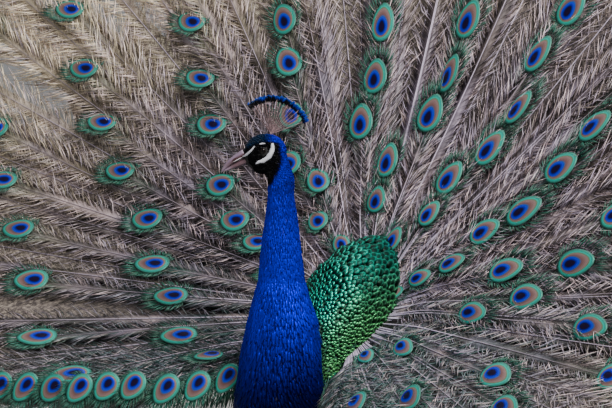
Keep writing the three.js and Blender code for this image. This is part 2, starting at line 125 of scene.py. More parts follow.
def make_object(name, points, faces, values=None, uv=None, smooth=True):
    """A mesh object from points, a list of face arrays, point values and a bake map."""
    points = np.asarray(points, np.float32).reshape(-1, 3) + ORIGIN.astype(np.float32)
    mesh = bpy.data.meshes.new(name)
    loops = np.concatenate([np.asarray(f).ravel() for f in faces]).astype(np.int32)
    sizes = np.concatenate([np.full(len(f), np.shape(f)[1]) for f in faces]).astype(np.int32)
    starts = np.concatenate([[0], np.cumsum(sizes)[:-1]]).astype(np.int32)
    mesh.vertices.add(len(points))
    mesh.vertices.foreach_set("co", points.ravel())
    mesh.loops.add(len(loops))
    mesh.loops.foreach_set("vertex_index", loops)
    mesh.polygons.add(len(sizes))
    mesh.polygons.foreach_set("loop_start", starts)
    mesh.polygons.foreach_set("use_smooth", np.full(len(sizes), smooth))
    mesh.update(calc_edges=True)
    for key, value in (values or {}).items():
        value = np.asarray(value, np.float32)
        if value.ndim == 2:
            layer = mesh.attributes.new(key, "FLOAT_COLOR", "POINT")
            colour = np.ones((len(value), 4), np.float32)
            colour[:, :3] = value[:, :3]
            layer.data.foreach_set("color", colour.ravel())
        else:
            layer = mesh.attributes.new(key, "FLOAT", "POINT")
            layer.data.foreach_set("value", value)
    if uv is not None:
        layer = mesh.uv_layers.new(name="OFBake")
        layer.data.foreach_set("uv", np.asarray(uv, np.float32)[loops].ravel())
    obj = bpy.data.objects.new(name, mesh)
    bpy.context.scene.collection.objects.link(obj)
    return obj


def dress(obj, material, slot, *nodes):
    """Gives a piece its material and its place on the bird; the finish slot is not used."""
    obj.data.materials.clear()
    obj.data.materials.append(material)
    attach(obj, "root")
    if nodes:
        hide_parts(*nodes)
    return obj


def spread_map(place):
    """Root places scaled to fill the bake map from edge to edge."""
    low, high = place.min(0), place.max(0)
    return 0.006 + 0.985 * (place - low) / np.maximum(high - low, 1e-9)


PATCH = 0.003


def repeat_faces(template, count, size):
    """A template's faces, once for each of the copies."""
    shift = (np.arange(count) * size)[:, None, None]
    return [(np.asarray(f)[None] + shift).reshape(-1, np.shape(f)[1]) for f in template]


def spikes(root, middle, tip, side, normal, width):
    """Closed three-sided barbs, bent at the middle and pointed at both ends."""
    half = width[:, None] / 2
    points = np.stack([root, middle - side * half, middle + side * half, middle + normal * half * 1.4, tip], 1)
    faces = repeat_faces([BARB_FACES], len(root), 5)
    along = np.tile([0, 0.5, 0.5, 0.5, 1], (len(root), 1))
    across = np.tile([0.5, 0, 1, 0.5, 0.5], (len(root), 1))
    return points, faces, along, across


BARB_FACES = np.array([[0, 2, 1], [0, 3, 2], [0, 1, 3], [1, 2, 4], [2, 3, 4], [3, 1, 4]])


def leaf_template(outline, lift, columns=5):
    """A closed crowned leaf from stations of its length and half width."""
    spots = np.linspace(-1, 1, columns)
    u, v, w, quads = [], [], [], []
    for share, half in outline:
        for spot in spots:
            u.append(share)
            v.append(spot * half)
            w.append(lift * (1 - spot * spot) * math.sin(math.pi * min(share * 0.9 + 0.1, 1)))
    rows, last = len(outline), columns - 1
    for row in range(rows - 1):
        a, b = row * columns, (row + 1) * columns
        quads += [[a + k, a + k + 1, b + k + 1, b + k] for k in range(last)]
        quads.append([a + last, a, b, b + last])
    end, tip = (rows - 1) * columns, rows * columns
    tris = [[end + k, end + k + 1, tip] for k in range(last)] + [[end + last, end, tip]]
    tris += [[0, k + 1, k] for k in range(1, last)]
    return np.array(u + [1.0]), np.array(v + [0.0]), np.array(w + [0.0]), [np.array(quads), np.array(tris)]


def leaves(template, root, way, normal, length, width, curl=0.0):
    """Closed leaves laid from their roots along a way, over a normal."""
    u, v, w, faces = template
    side = np.cross(normal, way)
    length, width = length[:, None, None], width[:, None, None]
    rise = curl * (u * u)[None, :, None] * length
    points = (root[:, None] + way[:, None] * u[None, :, None] * length
              + side[:, None] * v[None, :, None] * width / 2
              + normal[:, None] * (w[None, :, None] * width + rise))
    count = len(root)
    along = np.tile(u, (count, 1))
    across = np.tile(v, (count, 1))
    return points, repeat_faces(faces, count, len(u)), along, across


def tuft_map(roots, along, across):
    """The bake map of tufts: a small patch at each root's place."""
    base = spread_map(roots)
    return np.stack([base[:, None, 0] + PATCH * (across * 0.5), base[:, None, 1] + PATCH * along], -1).reshape(-1, 2)


def tube(path, radius, sides=8):
    """A closed tube along a path of points."""
    way = unit(np.gradient(path, axis=0))
    guess = np.where(np.abs(way[:, 2:3]) < 0.9, UP[None], np.array([[1.0, 0, 0]]))
    across = unit(np.cross(way, guess))
    upward = np.cross(way, across)
    turn = np.arange(sides) * 2 * math.pi / sides
    rings = (path[:, None] + across[:, None] * (np.cos(turn)[None] * radius[:, None])[..., None]
             + upward[:, None] * (np.sin(turn)[None] * radius[:, None])[..., None])
    rows = len(path)
    quads = [[r * sides + k, r * sides + (k + 1) % sides, (r + 1) * sides + (k + 1) % sides, (r + 1) * sides + k]
             for r in range(rows - 1) for k in range(sides)]
    first, last, end = rows * sides, rows * sides + 1, (rows - 1) * sides
    tris = [[first, (k + 1) % sides, k] for k in range(sides)]
    tris += [[last, end + k, end + (k + 1) % sides] for k in range(sides)]
    return np.concatenate([rings.reshape(-1, 3), path[:1], path[-1:]]), [np.array(quads), np.array(tris)]


def join(name, parts, colour, material, slot, *nodes):
    """Several lofts as one piece of one tint."""
    points = np.concatenate([p for p, _ in parts])
    faces, start = [], 0
    for p, groups in parts:
        faces += [g + start for g in groups]
        start += len(p)
    tint = np.tile(colour, (len(points), 1))
    return dress(make_object(name, points, faces, {"tint": tint}), material, slot, *nodes)


def loft(centres, across, upward, wide, high, sides=20, power=1.0):
    """A closed loft of ovals along centres: points and faces."""
    turn = np.arange(sides) * 2 * math.pi / sides
    c = np.sign(np.cos(turn)) * np.abs(np.cos(turn)) ** power
    s = np.sign(np.sin(turn)) * np.abs(np.sin(turn)) ** power
    rings = (centres[:, None] + across * (c[None] * wide[:, None])[..., None]
             + upward * (s[None] * high[:, None])[..., None])
    rows = len(centres)
    points = np.concatenate([rings.reshape(-1, 3), centres[:1], centres[-1:]])
    quads = [[r * sides + k, r * sides + (k + 1) % sides, (r + 1) * sides + (k + 1) % sides, (r + 1) * sides + k]
             for r in range(rows - 1) for k in range(sides)]
    first, last, end = rows * sides, rows * sides + 1, (rows - 1) * sides
    tris = [[first, (k + 1) % sides, k] for k in range(sides)]
    tris += [[last, end + k, end + (k + 1) % sides] for k in range(sides)]
    return points, [np.array(quads), np.array(tris)]


# ---- materials --------------------------------------------------------------------------------
class Nodes:
    """A short way to write a material's nodes."""

    def __init__(self, name):
        self.material = bpy.data.materials.new(name)
        self.material.use_nodes = True
        self.tree = self.material.node_tree
        self.shader = self.tree.nodes["Principled BSDF"]

    def add(self, kind, **settings):
        node = self.tree.nodes.new(kind)
        for key, value in settings.items():
            setattr(node, key, value)
        return node

    def link(self, output, socket):
        self.tree.links.new(output, socket)

    def attribute(self, name, output="Color"):
        return self.add("ShaderNodeAttribute", attribute_name=name).outputs[output]

    def noise(self, scale, detail=3.0, stretch=None):
        place = self.add("ShaderNodeTexCoord").outputs["Object"]
        if stretch:
            mapping = self.add("ShaderNodeMapping")
            mapping.inputs["Scale"].default_value = stretch
            self.link(place, mapping.inputs["Vector"])
            place = mapping.outputs["Vector"]
        noise = self.add("ShaderNodeTexNoise")
        noise.inputs["Scale"].default_value = scale
        noise.inputs["Detail"].default_value = detail
        self.link(place, noise.inputs["Vector"])
        return noise.outputs["Fac"]

    def span(self, value, low, high, from_low=0.0, from_high=1.0):
        node = self.add("ShaderNodeMapRange")
        for socket, number in zip(("From Min", "From Max", "To Min", "To Max"), (from_low, from_high, low, high)):
            node.inputs[socket].default_value = number
        self.link(value, node.inputs["Value"])
        return node.outputs["Result"]

    def scale_colour(self, colour, factor):
        node = self.add("ShaderNodeVectorMath", operation="SCALE")
        self.link(colour, node.inputs[0])
        self.link(factor, node.inputs["Scale"])
        return node.outputs["Vector"]

    def math(self, operation, a, b):
        node = self.add("ShaderNodeMath", operation=operation)
        for socket, value in zip(node.inputs, (a, b)):
            if isinstance(value, (int, float)):
                socket.default_value = value
            else:
                self.link(value, socket)
        return node.outputs[0]

    def blend(self, factor, a, b):
        node = self.add("ShaderNodeMix", data_type="RGBA")
        self.link(factor, node.inputs["Factor"])
        for socket, value in ((node.inputs[6], a), (node.inputs[7], b)):
            if hasattr(value, "is_linked"):
                self.link(value, socket)
            else:
                socket.default_value = (*value, 1)
        return node.outputs[2]

    def bump(self, height, strength, distance=0.001):
        node = self.add("ShaderNodeBump")
        node.inputs["Strength"].default_value = strength
        node.inputs["Distance"].default_value = distance
        self.link(height, node.inputs["Height"])
        self.link(node.outputs["Normal"], self.shader.inputs["Normal"])

    def finish(self, colour, roughness, metallic=0.0, **sockets):
        if hasattr(colour, "is_linked"):
            self.link(colour, self.shader.inputs["Base Color"])
        else:
            self.shader.inputs["Base Color"].default_value = (*colour, 1)
        if hasattr(roughness, "is_linked"):
            self.link(roughness, self.shader.inputs["Roughness"])
        else:
            self.shader.inputs["Roughness"].default_value = roughness
        self.shader.inputs["Metallic"].default_value = metallic
        for key, value in sockets.items():
            self.shader.inputs[key.replace("_", " ")].default_value = value
        return self.material


def tinted_material(name, roughness, metallic=0.0, speckle=250.0, depth=0.35, bump=0.3, **sockets):
    """A coat's material: the tint it carries, broken up by fine noise, with a fine relief."""
    nodes = Nodes(name)
    grain = nodes.noise(speckle, 4.0)
    colour = nodes.scale_colour(nodes.attribute("tint"), nodes.span(grain, 1 - depth, 1 + depth, 0.3, 0.7))
    nodes.bump(nodes.noise(speckle * 3, 2.0), bump)
    rough = nodes.span(grain, roughness - 0.08, roughness + 0.08)
    return nodes.finish(colour, rough, metallic, **sockets)


# ---- the train's sheet ------------------------------------------------------------------------
TRAIN_UP = np.array([0.0, math.sin(LEAN), math.cos(LEAN)])
TRAIN_FRONT = np.array([0.0, -math.cos(LEAN), math.sin(LEAN)])
VANE_FRONT = np.array([0.0, -0.81, 0.586])
BLOWN_FRONT = np.array([0.0, -0.60, 0.80])
HANGING_FRONT = np.array([0.35, -0.90, 0.25])


def feather_line(angle):
    """Where a feather starts and which way it leaves, at an angle from the top feather."""
    angle = np.asarray(angle, float)
    low = smoothstep(np.abs(angle), math.radians(75), HALF_SPAN)
    sweep = SWEEP * low
    flat = np.sin(angle)[:, None] * np.array([1.0, 0, 0]) + np.cos(angle)[:, None] * TRAIN_UP
    way = unit(flat * np.cos(sweep)[:, None] + np.sin(sweep)[:, None] * np.array([0, -1.0, 0]))
    shift = np.stack([0.030 * np.sign(angle), np.full_like(angle, -0.070), np.full_like(angle, -0.040)], -1)
    return TRAIN_ROOT + shift * low[:, None], way


def train_point(distance, angle):
    root, way = feather_line(angle)
    cup = (0.1 * distance ** 2)[:, None] * TRAIN_FRONT
    droop = (0.04 * distance ** 2 * np.sin(angle) ** 2)[:, None] * UP
    return root + way * distance[:, None] + cup - droop


def train_frame(distance, angle):
    """A point of the sheet with its outward way, its way across and its front normal."""
    step = 0.001
    out = unit(train_point(distance + step, angle) - train_point(distance - step, angle))
    over = train_point(distance, angle + step) - train_point(distance, angle - step)
    normal = unit(np.cross(over, out))
    return train_point(distance, angle), out, np.cross(out, normal), normal


def train_radius(angle):
    angle = np.asarray(angle, float)
    root, way = feather_line(angle)
    round_rim = TOP_RADIUS + (SIDE_RADIUS - TOP_RADIUS) * np.sin(angle) ** 2
    level = (LOWEST_TIP - root[:, 2]) / np.minimum(way[:, 2], -1e-3)
    return (round_rim ** -4 + level ** -4) ** -0.25


def fan_map(distance, angle):
    """The fan laid out flat."""
    return np.stack([distance * np.sin(angle), distance * np.cos(angle)], -1)


def low_row_angle(length):
    """The angle at which a feather of a given length just reaches the level lower edge."""
    tries = np.linspace(1.6, 2.5, 400)
    height = train_point(np.full(len(tries), length), tries)[:, 2]
    return tries[np.argmin(np.abs(height - LOW_ROW + 0.05 * length))]


def plan_feathers():
    """Each eyed feather's angle and length, and whether it ends in the left-hand lower edge's row."""
    angles, lengths = [], []
    tier, number = 0.060, 0
    while tier < TOP_RADIUS - 0.06:
        spacing = (0.078 + 0.19 * tier) / tier
        count = max(3, round(2 * HALF_SPAN / spacing))
        for j in range(count):
            angle = -HALF_SPAN + (j + 0.25 + 0.5 * (number % 2)) * 2 * HALF_SPAN / count
            angles.append(angle + rng.uniform(-0.07, 0.07) * spacing)
            lengths.append(tier * rng.uniform(0.975, 1.025))
        tier += 0.050 + 0.085 * tier
        number += 1
    for length in np.arange(0.34, 0.95, 0.055):
        for side in (-1, 1):
            angles.append(side * (HALF_SPAN - 0.03 + 0.12 * (1 - length) + rng.uniform(-0.02, 0.02)))
            lengths.append(length * rng.uniform(0.97, 1.03))
    for angle, length in zip(rng.uniform(1.15, 2.1, 400), rng.uniform(0.22, 1.0, 400)):
        spot = fan_map(length, angle)
        if np.linalg.norm(fan_map(np.array(lengths), np.array(angles)) - spot, axis=1).min() > 0.060 + 0.024 * length:
            angles.append(angle)
            lengths.append(length)
    angles, lengths = np.array(angles), np.array(lengths)
    lengths = np.minimum(lengths, train_radius(angles) - 0.035 - 0.02 * rng.random(len(angles)))
    edge = np.array([low_row_angle(length + 0.03) - 0.02 for length in lengths])
    above = (angles > -edge) | (lengths > 0.66)
    row_length = np.arange(0.15, 0.66, 0.042)
    row_angle = np.array([-low_row_angle(length * rng.uniform(0.98, 1.02)) for length in row_length])
    in_row = np.arange(above.sum() + len(row_length)) >= above.sum()
    return np.append(angles[above], row_angle), np.append(lengths[above], row_length), in_row


feather_angle, feather_length, in_low_row = plan_feathers()
feather_bend = rng.uniform(-0.035, 0.035, len(feather_angle))
feather_layer = 0.004 + 0.016 * (1 - feather_length / TOP_RADIUS) + rng.uniform(-0.0015, 0.0015, len(feather_angle))
rim_angle = np.arange(-HALF_SPAN + 0.06, HALF_SPAN - 0.05, math.radians(4.2))
rim_angle = rim_angle + rng.uniform(-0.02, 0.02, len(rim_angle))
rim_length = train_radius(rim_angle) - 0.012 - 0.04 * (np.arange(len(rim_angle)) % 2)
shaft_angle = np.concatenate([feather_angle, rim_angle])
shaft_length = np.concatenate([feather_length, rim_length])
shaft_bend = np.concatenate([feather_bend, rng.uniform(-0.02, 0.02, len(rim_angle))])
shaft_layer = np.concatenate([feather_layer, np.full(len(rim_angle), 0.002)])
print("feathers", len(feather_angle), "rim", len(rim_angle), "shaft metres", round(float(shaft_length.sum()), 1))


def on_shaft(which, distance):
    """A point of a feather's shaft with its frame, for arrays of feathers and distances."""
    share = distance / shaft_length[which]
    angle = shaft_angle[which] + shaft_bend[which] * (share ** 2 - share)
    place, out, over, normal = train_frame(distance, angle)
    lift = shaft_layer[which] * smoothstep(distance, 0.03, 0.16)
    return place + normal * lift[:, None], out, over, normal


LILAC = srgb(186, 172, 200)
GREY_BROWN = srgb(138, 116, 116)
# the colour of the dark barbs, which are painted shade between the layered barbs
SHADED_BARB_BROWN = srgb(48, 38, 40)
PINK_GLINT = srgb(226, 204, 208)
OLIVE = srgb(112, 122, 98)
TEAL = srgb(40, 122, 116)
PALE_GOLD = srgb(214, 200, 172)


def barb_tint(distance, angle, near_tip, count):
    """The loose barbs' colour: lilac grey and brown, green by the eyes and at the low left root, with painted
    highlights, painted shade and painted light.
    """
    tint = mix(GREY_BROWN, LILAC, rng.random(count))
    tint = mix(tint, OLIVE, 0.4 * rng.random(count))
    # painted highlights: about one barb in six takes the pale pink glint colour
    bright = rng.random(count) < 0.16
    tint[bright] = PINK_GLINT
    # painted shade: about a quarter of the barbs are made dark brown, as the shade between the layered barbs
    dark = rng.random(count) < 0.27
    tint[dark] = SHADED_BARB_BROWN * vary(dark.sum(), 0.3)[:, None]
    green = smoothstep(near_tip, 0.10, 0.02)
    tint = mix(tint, mix(TEAL, OLIVE, rng.random(count)), 0.75 * green)
    low = smoothstep(np.abs(angle), 1.2, 2.0) * smoothstep(distance, 0.75, 0.2)
    tint = mix(tint, TEAL, 0.75 * low * rng.random(count)) * (1 - 0.25 * low)[:, None]
    outward = smoothstep(distance, 0.35, 0.90)
    # painted light: barbs on the upper part of the fan on the bird's right are brightened and made paler gold; the
    # pale gold of the outer barbs elsewhere is their own colour
    sunlit_upper_right = smoothstep(-angle, -0.7, 0.1) * smoothstep(-angle, 1.7, 0.9)
    tint = mix(tint, PALE_GOLD, (0.55 + 0.4 * sunlit_upper_right) * outward * rng.random(count) ** 0.5)
    return tint * (vary(count, 0.35) * (1 + 0.8 * outward * sunlit_upper_right))[:, None]


def build_shafts(material):
    count, steps = len(shaft_angle), 17
    share = np.linspace(0, 1, steps) ** 1.15
    which = np.repeat(np.arange(count), steps)
    distance = 0.035 + (shaft_length[which] - 0.035) * np.tile(share, count)
    place, out, over, normal = on_shaft(which, distance)
    half = (0.0012 * (1 - 0.70 * np.tile(share, count)))[:, None]
    ring = np.stack([place - over * half, place + over * half, place + normal * half * 1.6], 1)
    points = ring.reshape(count, steps * 3, 3)
    quads = [[r * 3 + k, r * 3 + (k + 1) % 3, r * 3 + 3 + (k + 1) % 3, r * 3 + 3 + k]
             for r in range(steps - 1) for k in range(3)]
    end = (steps - 1) * 3
    template = [np.array(quads), np.array([[2, 1, 0], [end, end + 1, end + 2]])]
    faces = repeat_faces(template, count, steps * 3)
    tone = mix(srgb(212, 200, 224), srgb(112, 96, 96), np.tile(share, count) ** 1.5)
    tone = tone * (0.75 + 0.5 * rng.random(len(which)))[:, None]
    tint = np.repeat(tone, 3, 0)
    flat = fan_map(distance, shaft_angle[which])
    spot = spread_map(flat)
    uv = (spot[:, None] + PATCH * np.array([[0, 0], [1, 0], [0.5, 1]])[None] * 0.6).reshape(-1, 2)
    obj = make_object("train_shafts", points, faces, {"tint": tint}, uv)
    dress(obj, material, "train_feathers", *[f"train_{i + 1}" for i in range(9)])


def build_quills(material):
    """The pale backs of the longer shafts, behind the sheet."""
    paths = []
    for i in np.flatnonzero(shaft_length > 0.5):
        which = np.full(16, i)
        place, out, over, normal = on_shaft(which, np.linspace(0.06, shaft_length[i] * 0.97, 16))
        paths.append(tube(place - normal * (shaft_layer[i] + 0.0030), np.linspace(0.0014, 0.0006, 16), 4))
    join("train_quills", paths, srgb(206, 196, 180), material, "train_feathers")


def build_ribbons(material):
    """The close barbs along each shaft, as a narrow two-sided web behind the loose ones, darkened as painted shade."""
    count, steps = len(shaft_angle), 17
    share = np.linspace(0, 1, steps)
    which = np.repeat(np.arange(count), steps)
    distance = 0.05 + (shaft_length[which] - 0.05) * np.tile(share, count)
    place, out, over, normal = on_shaft(which, distance)
    wide = (0.013 * (1 - 0.5 * np.tile(share, count) ** 3) * vary(count * steps, 0.2))[:, None]
    back = 0.0009
    columns = [place - over * wide - normal * 0.002, place - normal * back, place + over * wide - normal * 0.002,
               place - normal * (back + 0.0012)]
    points = np.stack(columns, 1).reshape(count, steps * 4, 3)
    loop = [0, 1, 2, 3]
    quads = [[r * 4 + loop[k], r * 4 + loop[(k + 1) % 4], r * 4 + 4 + loop[(k + 1) % 4], r * 4 + 4 + loop[k]]
             for r in range(steps - 1) for k in range(4)]
    end = (steps - 1) * 4
    template = [np.array(quads), np.array([[3, 2, 1, 0], [end, end + 1, end + 2, end + 3]])]
    faces = repeat_faces(template, count, steps * 4)
    # painted shade: the webs take the loose barbs' colour darkened to 0.55
    tint = barb_tint(distance, shaft_angle[which], shaft_length[which] - distance, count * steps) * 0.55
    side = np.tile([-1.0, 0, 1.0, 0], count * steps)
    spot = spread_map(fan_map(distance, shaft_angle[which]))
    uv = (spot[:, None] + 0.004 * np.array([[0, 0], [0.5, 0.3], [1, 0], [0.5, -0.3]])[None]).reshape(-1, 2)
    values = {"tint": np.repeat(tint, 4, 0), "side": side, "run": np.repeat(distance, 4)}
    dress(make_object("train_webs", points, faces, values, uv), material, "train_feathers")


def build_barbs(material):
    """The loose barbs, in pieces by angle."""
    which, distance, side = [], [], []
    for i, length in enumerate(shaft_length):
        tip = length - (0.020 if i < len(feather_angle) else 0.002)
        place = 0.045 if abs(shaft_angle[i]) < 1.3 else 0.085
        while place < tip:
            which += [i, i]
            distance += [place, place + 0.0007]
            side += [-1, 1]
            crowded = smoothstep(length - place, 0.12, 0.5) * smoothstep(place, 0.75, 0.35)
            place += 0.0029 + 0.0044 * float(crowded)
    which, distance, side = np.array(which), np.array(distance), np.array(side, float)
    count = len(which)
    distance = distance + rng.uniform(-0.0008, 0.0008, count)
    root, out, over, normal = on_shaft(which, distance)
    share = distance / shaft_length[which]
    near_tip = shaft_length[which] - distance
    slant = np.radians(54 - 16 * share) * vary(count, 0.34)
    length = 0.034 + 0.016 * smoothstep(distance, 0.08, 0.5) + 0.026 * smoothstep(distance, 0.5, 1.0)
    length = length * (0.62 + 0.38 * smoothstep(near_tip, 0.0, 0.10))
    swept = smoothstep(np.abs(shaft_angle[which]), 1.5, 1.9) * smoothstep(distance, 0.80, 1.0)
    length = length * (1 - 0.45 * swept) * vary(count, 0.25)
    way = out * np.cos(slant)[:, None] + over * (side * np.sin(slant))[:, None]
    bent = slant * (0.72 * vary(count, 0.4))
    way_tip = out * np.cos(bent)[:, None] + over * (side * np.sin(bent))[:, None]
    lift = rng.uniform(-0.003, 0.008, count)[:, None]
    middle = root + way * length[:, None] * 0.5 + normal * lift * 0.4
    tip = root + (way + way_tip) * length[:, None] * 0.52 + normal * lift
    cross = np.cross(normal, way)
    width = (0.0013 + 0.0006 * smoothstep(distance, 0.4, 1.0)) * vary(count, 0.25)
    points, faces, along, across = spikes(root, middle, tip, cross, normal, width)
    tint = barb_tint(distance, shaft_angle[which], near_tip, count)
    # painted shade and highlight: each barb is darker at its root and lighter at its tip
    tint = np.repeat(tint[:, None], 5, 1) * (0.8 + 0.4 * along[..., None])
    flat = fan_map(distance, shaft_angle[which])
    pieces = 5
    sector = np.clip(((shaft_angle[which] + HALF_SPAN) / (2 * HALF_SPAN) * pieces).astype(int), 0, pieces - 1)
    print("barbs", count)
    for k in range(pieces):
        mine = sector == k
        number = int(mine.sum())
        uv = tuft_map(flat[mine], along[mine], across[mine])
        obj = make_object(f"train_barbs_{k + 1}", points[mine], repeat_faces([BARB_FACES], number, 5),
                          {"tint": tint[mine].reshape(-1, 3)}, uv)
        dress(obj, material, "train_feathers")


def build_sheet(material):
    """The dense lower part of the fan, behind the loose barbs: a thin closed web."""
    rows, columns = 24, 120
    angle = np.linspace(-HALF_SPAN + 0.02, HALF_SPAN - 0.02, columns)
    rim = 0.74 + 0.14 * smoothstep(np.abs(angle), 1.1, 1.8) + 0.04 * np.sin(angle * 37) + 0.03 * np.sin(angle * 91)
    rim = np.minimum(rim, train_radius(angle) - 0.06)
    share = np.linspace(0, 1, rows)
    distance = 0.05 + (rim[None] - 0.05) * share[:, None]
    spread = np.broadcast_to(angle, distance.shape)
    place, out, over, normal = train_frame(distance.ravel(), spread.ravel())
    front = place + normal * 0.0012
    back = place - normal * 0.0012
    points = np.concatenate([front, back])
    total = rows * columns
    grid = np.arange(total).reshape(rows, columns)
    a, b, c, d = grid[:-1, :-1], grid[:-1, 1:], grid[1:, 1:], grid[1:, :-1]
    top = np.stack([a, b, c, d], -1).reshape(-1, 4)
    under = np.stack([a, d, c, b], -1).reshape(-1, 4) + total
    edge = np.concatenate([grid[0, ::-1], grid[1:, 0], grid[-1, 1:], grid[-2:0:-1, -1]])
    following = np.roll(edge, -1)
    wall = np.stack([edge, following, following + total, edge + total], -1)
    flat = np.tile(spread_map(fan_map(distance.ravel(), spread.ravel())), (2, 1))
    values = {"turn": np.tile(spread.ravel(), 2), "run": np.tile(distance.ravel(), 2)}
    obj = make_object("train_web_base", points, [top, under, wall], values, flat)
    dress(obj, material, "train_feathers")


def sheet_material():
    """Fine dark and light streaks that fan out, crossed by a herringbone of barbs; the dark inner web is partly
    painted shade and the pale outer part on the bird's right is painted light.
    """
    nodes = Nodes("train_web_base")
    turn, run = nodes.attribute("turn", "Fac"), nodes.attribute("run", "Fac")
    pair = nodes.add("ShaderNodeCombineXYZ")
    nodes.link(nodes.math("MULTIPLY", turn, 70.0), pair.inputs[0])
    nodes.link(nodes.math("MULTIPLY", run, 9.0), pair.inputs[1])
    streak = nodes.add("ShaderNodeTexNoise")
    streak.inputs["Scale"].default_value = 1.0
    streak.inputs["Detail"].default_value = 6.0
    nodes.link(pair.outputs[0], streak.inputs["Vector"])
    wave = nodes.add("ShaderNodeMath", operation="PINGPONG")
    nodes.link(nodes.math("MULTIPLY", turn, 16.0), wave.inputs[0])
    wave.inputs[1].default_value = 0.5
    bars = nodes.math("ADD", nodes.math("MULTIPLY", run, 900.0), nodes.math("MULTIPLY", wave.outputs[0], 60.0))
    bars = nodes.math("ADD", bars, nodes.math("MULTIPLY", nodes.noise(45.0, 4.0), 40.0))
    line = nodes.span(nodes.math("SINE", bars, 0.0), 0.55, 1.15, -1.0, 1.0)
    fleck = nodes.span(nodes.noise(150.0, 5.0), 0, 1, 0.40, 0.62)
    # the dark inner colours are partly the fan's dense feather bases and partly painted shade between the layered
    # barbs
    inner_web_and_shade = nodes.blend(nodes.span(streak.outputs["Fac"], 0, 1, 0.35, 0.65), srgb(34, 29, 29), srgb(86, 78, 82))
    low = nodes.blend(fleck, srgb(56, 48, 50), srgb(140, 124, 122))
    pale = nodes.blend(fleck, srgb(124, 112, 102), srgb(226, 214, 190))
    # painted light: the outer part of the sheet turns pale on the upper part of the bird's right side
    sunlit = nodes.math("MULTIPLY", nodes.span(turn, 1.0, 0.0, -0.6, 0.6), nodes.span(turn, 0.4, 1.0, -1.6, -0.9))
    outer = nodes.span(run, 0.0, 0.85, 0.25, 0.70)
    colour = nodes.blend(outer, inner_web_and_shade, nodes.blend(sunlit, low, pale))
    nodes.bump(line, 0.5, 0.002)
    return nodes.finish(nodes.scale_colour(colour, line), 0.75)


# Ocellus zones, from the pupil out: half width, half length, middle along, and display colour.
EYE_ZONES = [
    (0.00, 0.00, -0.22, (22, 2, 40)), (0.22, 0.26, -0.22, (16, 2, 48)),
    (0.27, 0.31, -0.22, (10, 8, 130)), (0.43, 0.44, -0.21, (10, 44, 220)),
    (0.48, 0.48, -0.19, (36, 84, 150)), (0.53, 0.53, -0.14, (112, 80, 80)),
    (0.68, 0.71, -0.03, (140, 116, 114)), (0.72, 0.76, -0.01, (100, 118, 86)),
    (0.77, 0.81, 0.00, (20, 176, 160)), (0.86, 0.88, 0.00, (42, 146, 132)), (1.00, 1.00, 0.00, (66, 112, 98)),
]
EYE_LENGTH, EYE_WIDTH = 0.060, 0.043


def eye_scale(length):
    return np.where(in_low_row, 0.78, 0.60 + 0.42 * smoothstep(length, 0.05, 0.34))


def vane_frames():
    """Each eye spot's place, way out, way across and front: the right-hand vanes lie flatter."""
    which = np.arange(len(feather_angle))
    place, out, over, normal = on_shaft(which, feather_length)
    blown = smoothstep(-feather_angle, 0.3, 0.9)
    out = unit(out - UP * (out @ UP * 0.6 * blown)[:, None])
    front = VANE_FRONT * (1 - blown)[:, None] + BLOWN_FRONT * blown[:, None]
    out[in_low_row] = unit(out[in_low_row] - 1.1 * UP)
    front[in_low_row] = HANGING_FRONT
    front = across_part(front + 0.10 * rng.normal(size=(len(which), 3)), out)
    lift = np.where(in_low_row, 0.022, 0.004)[:, None]
    return place + front * lift, out, np.cross(out, front), front


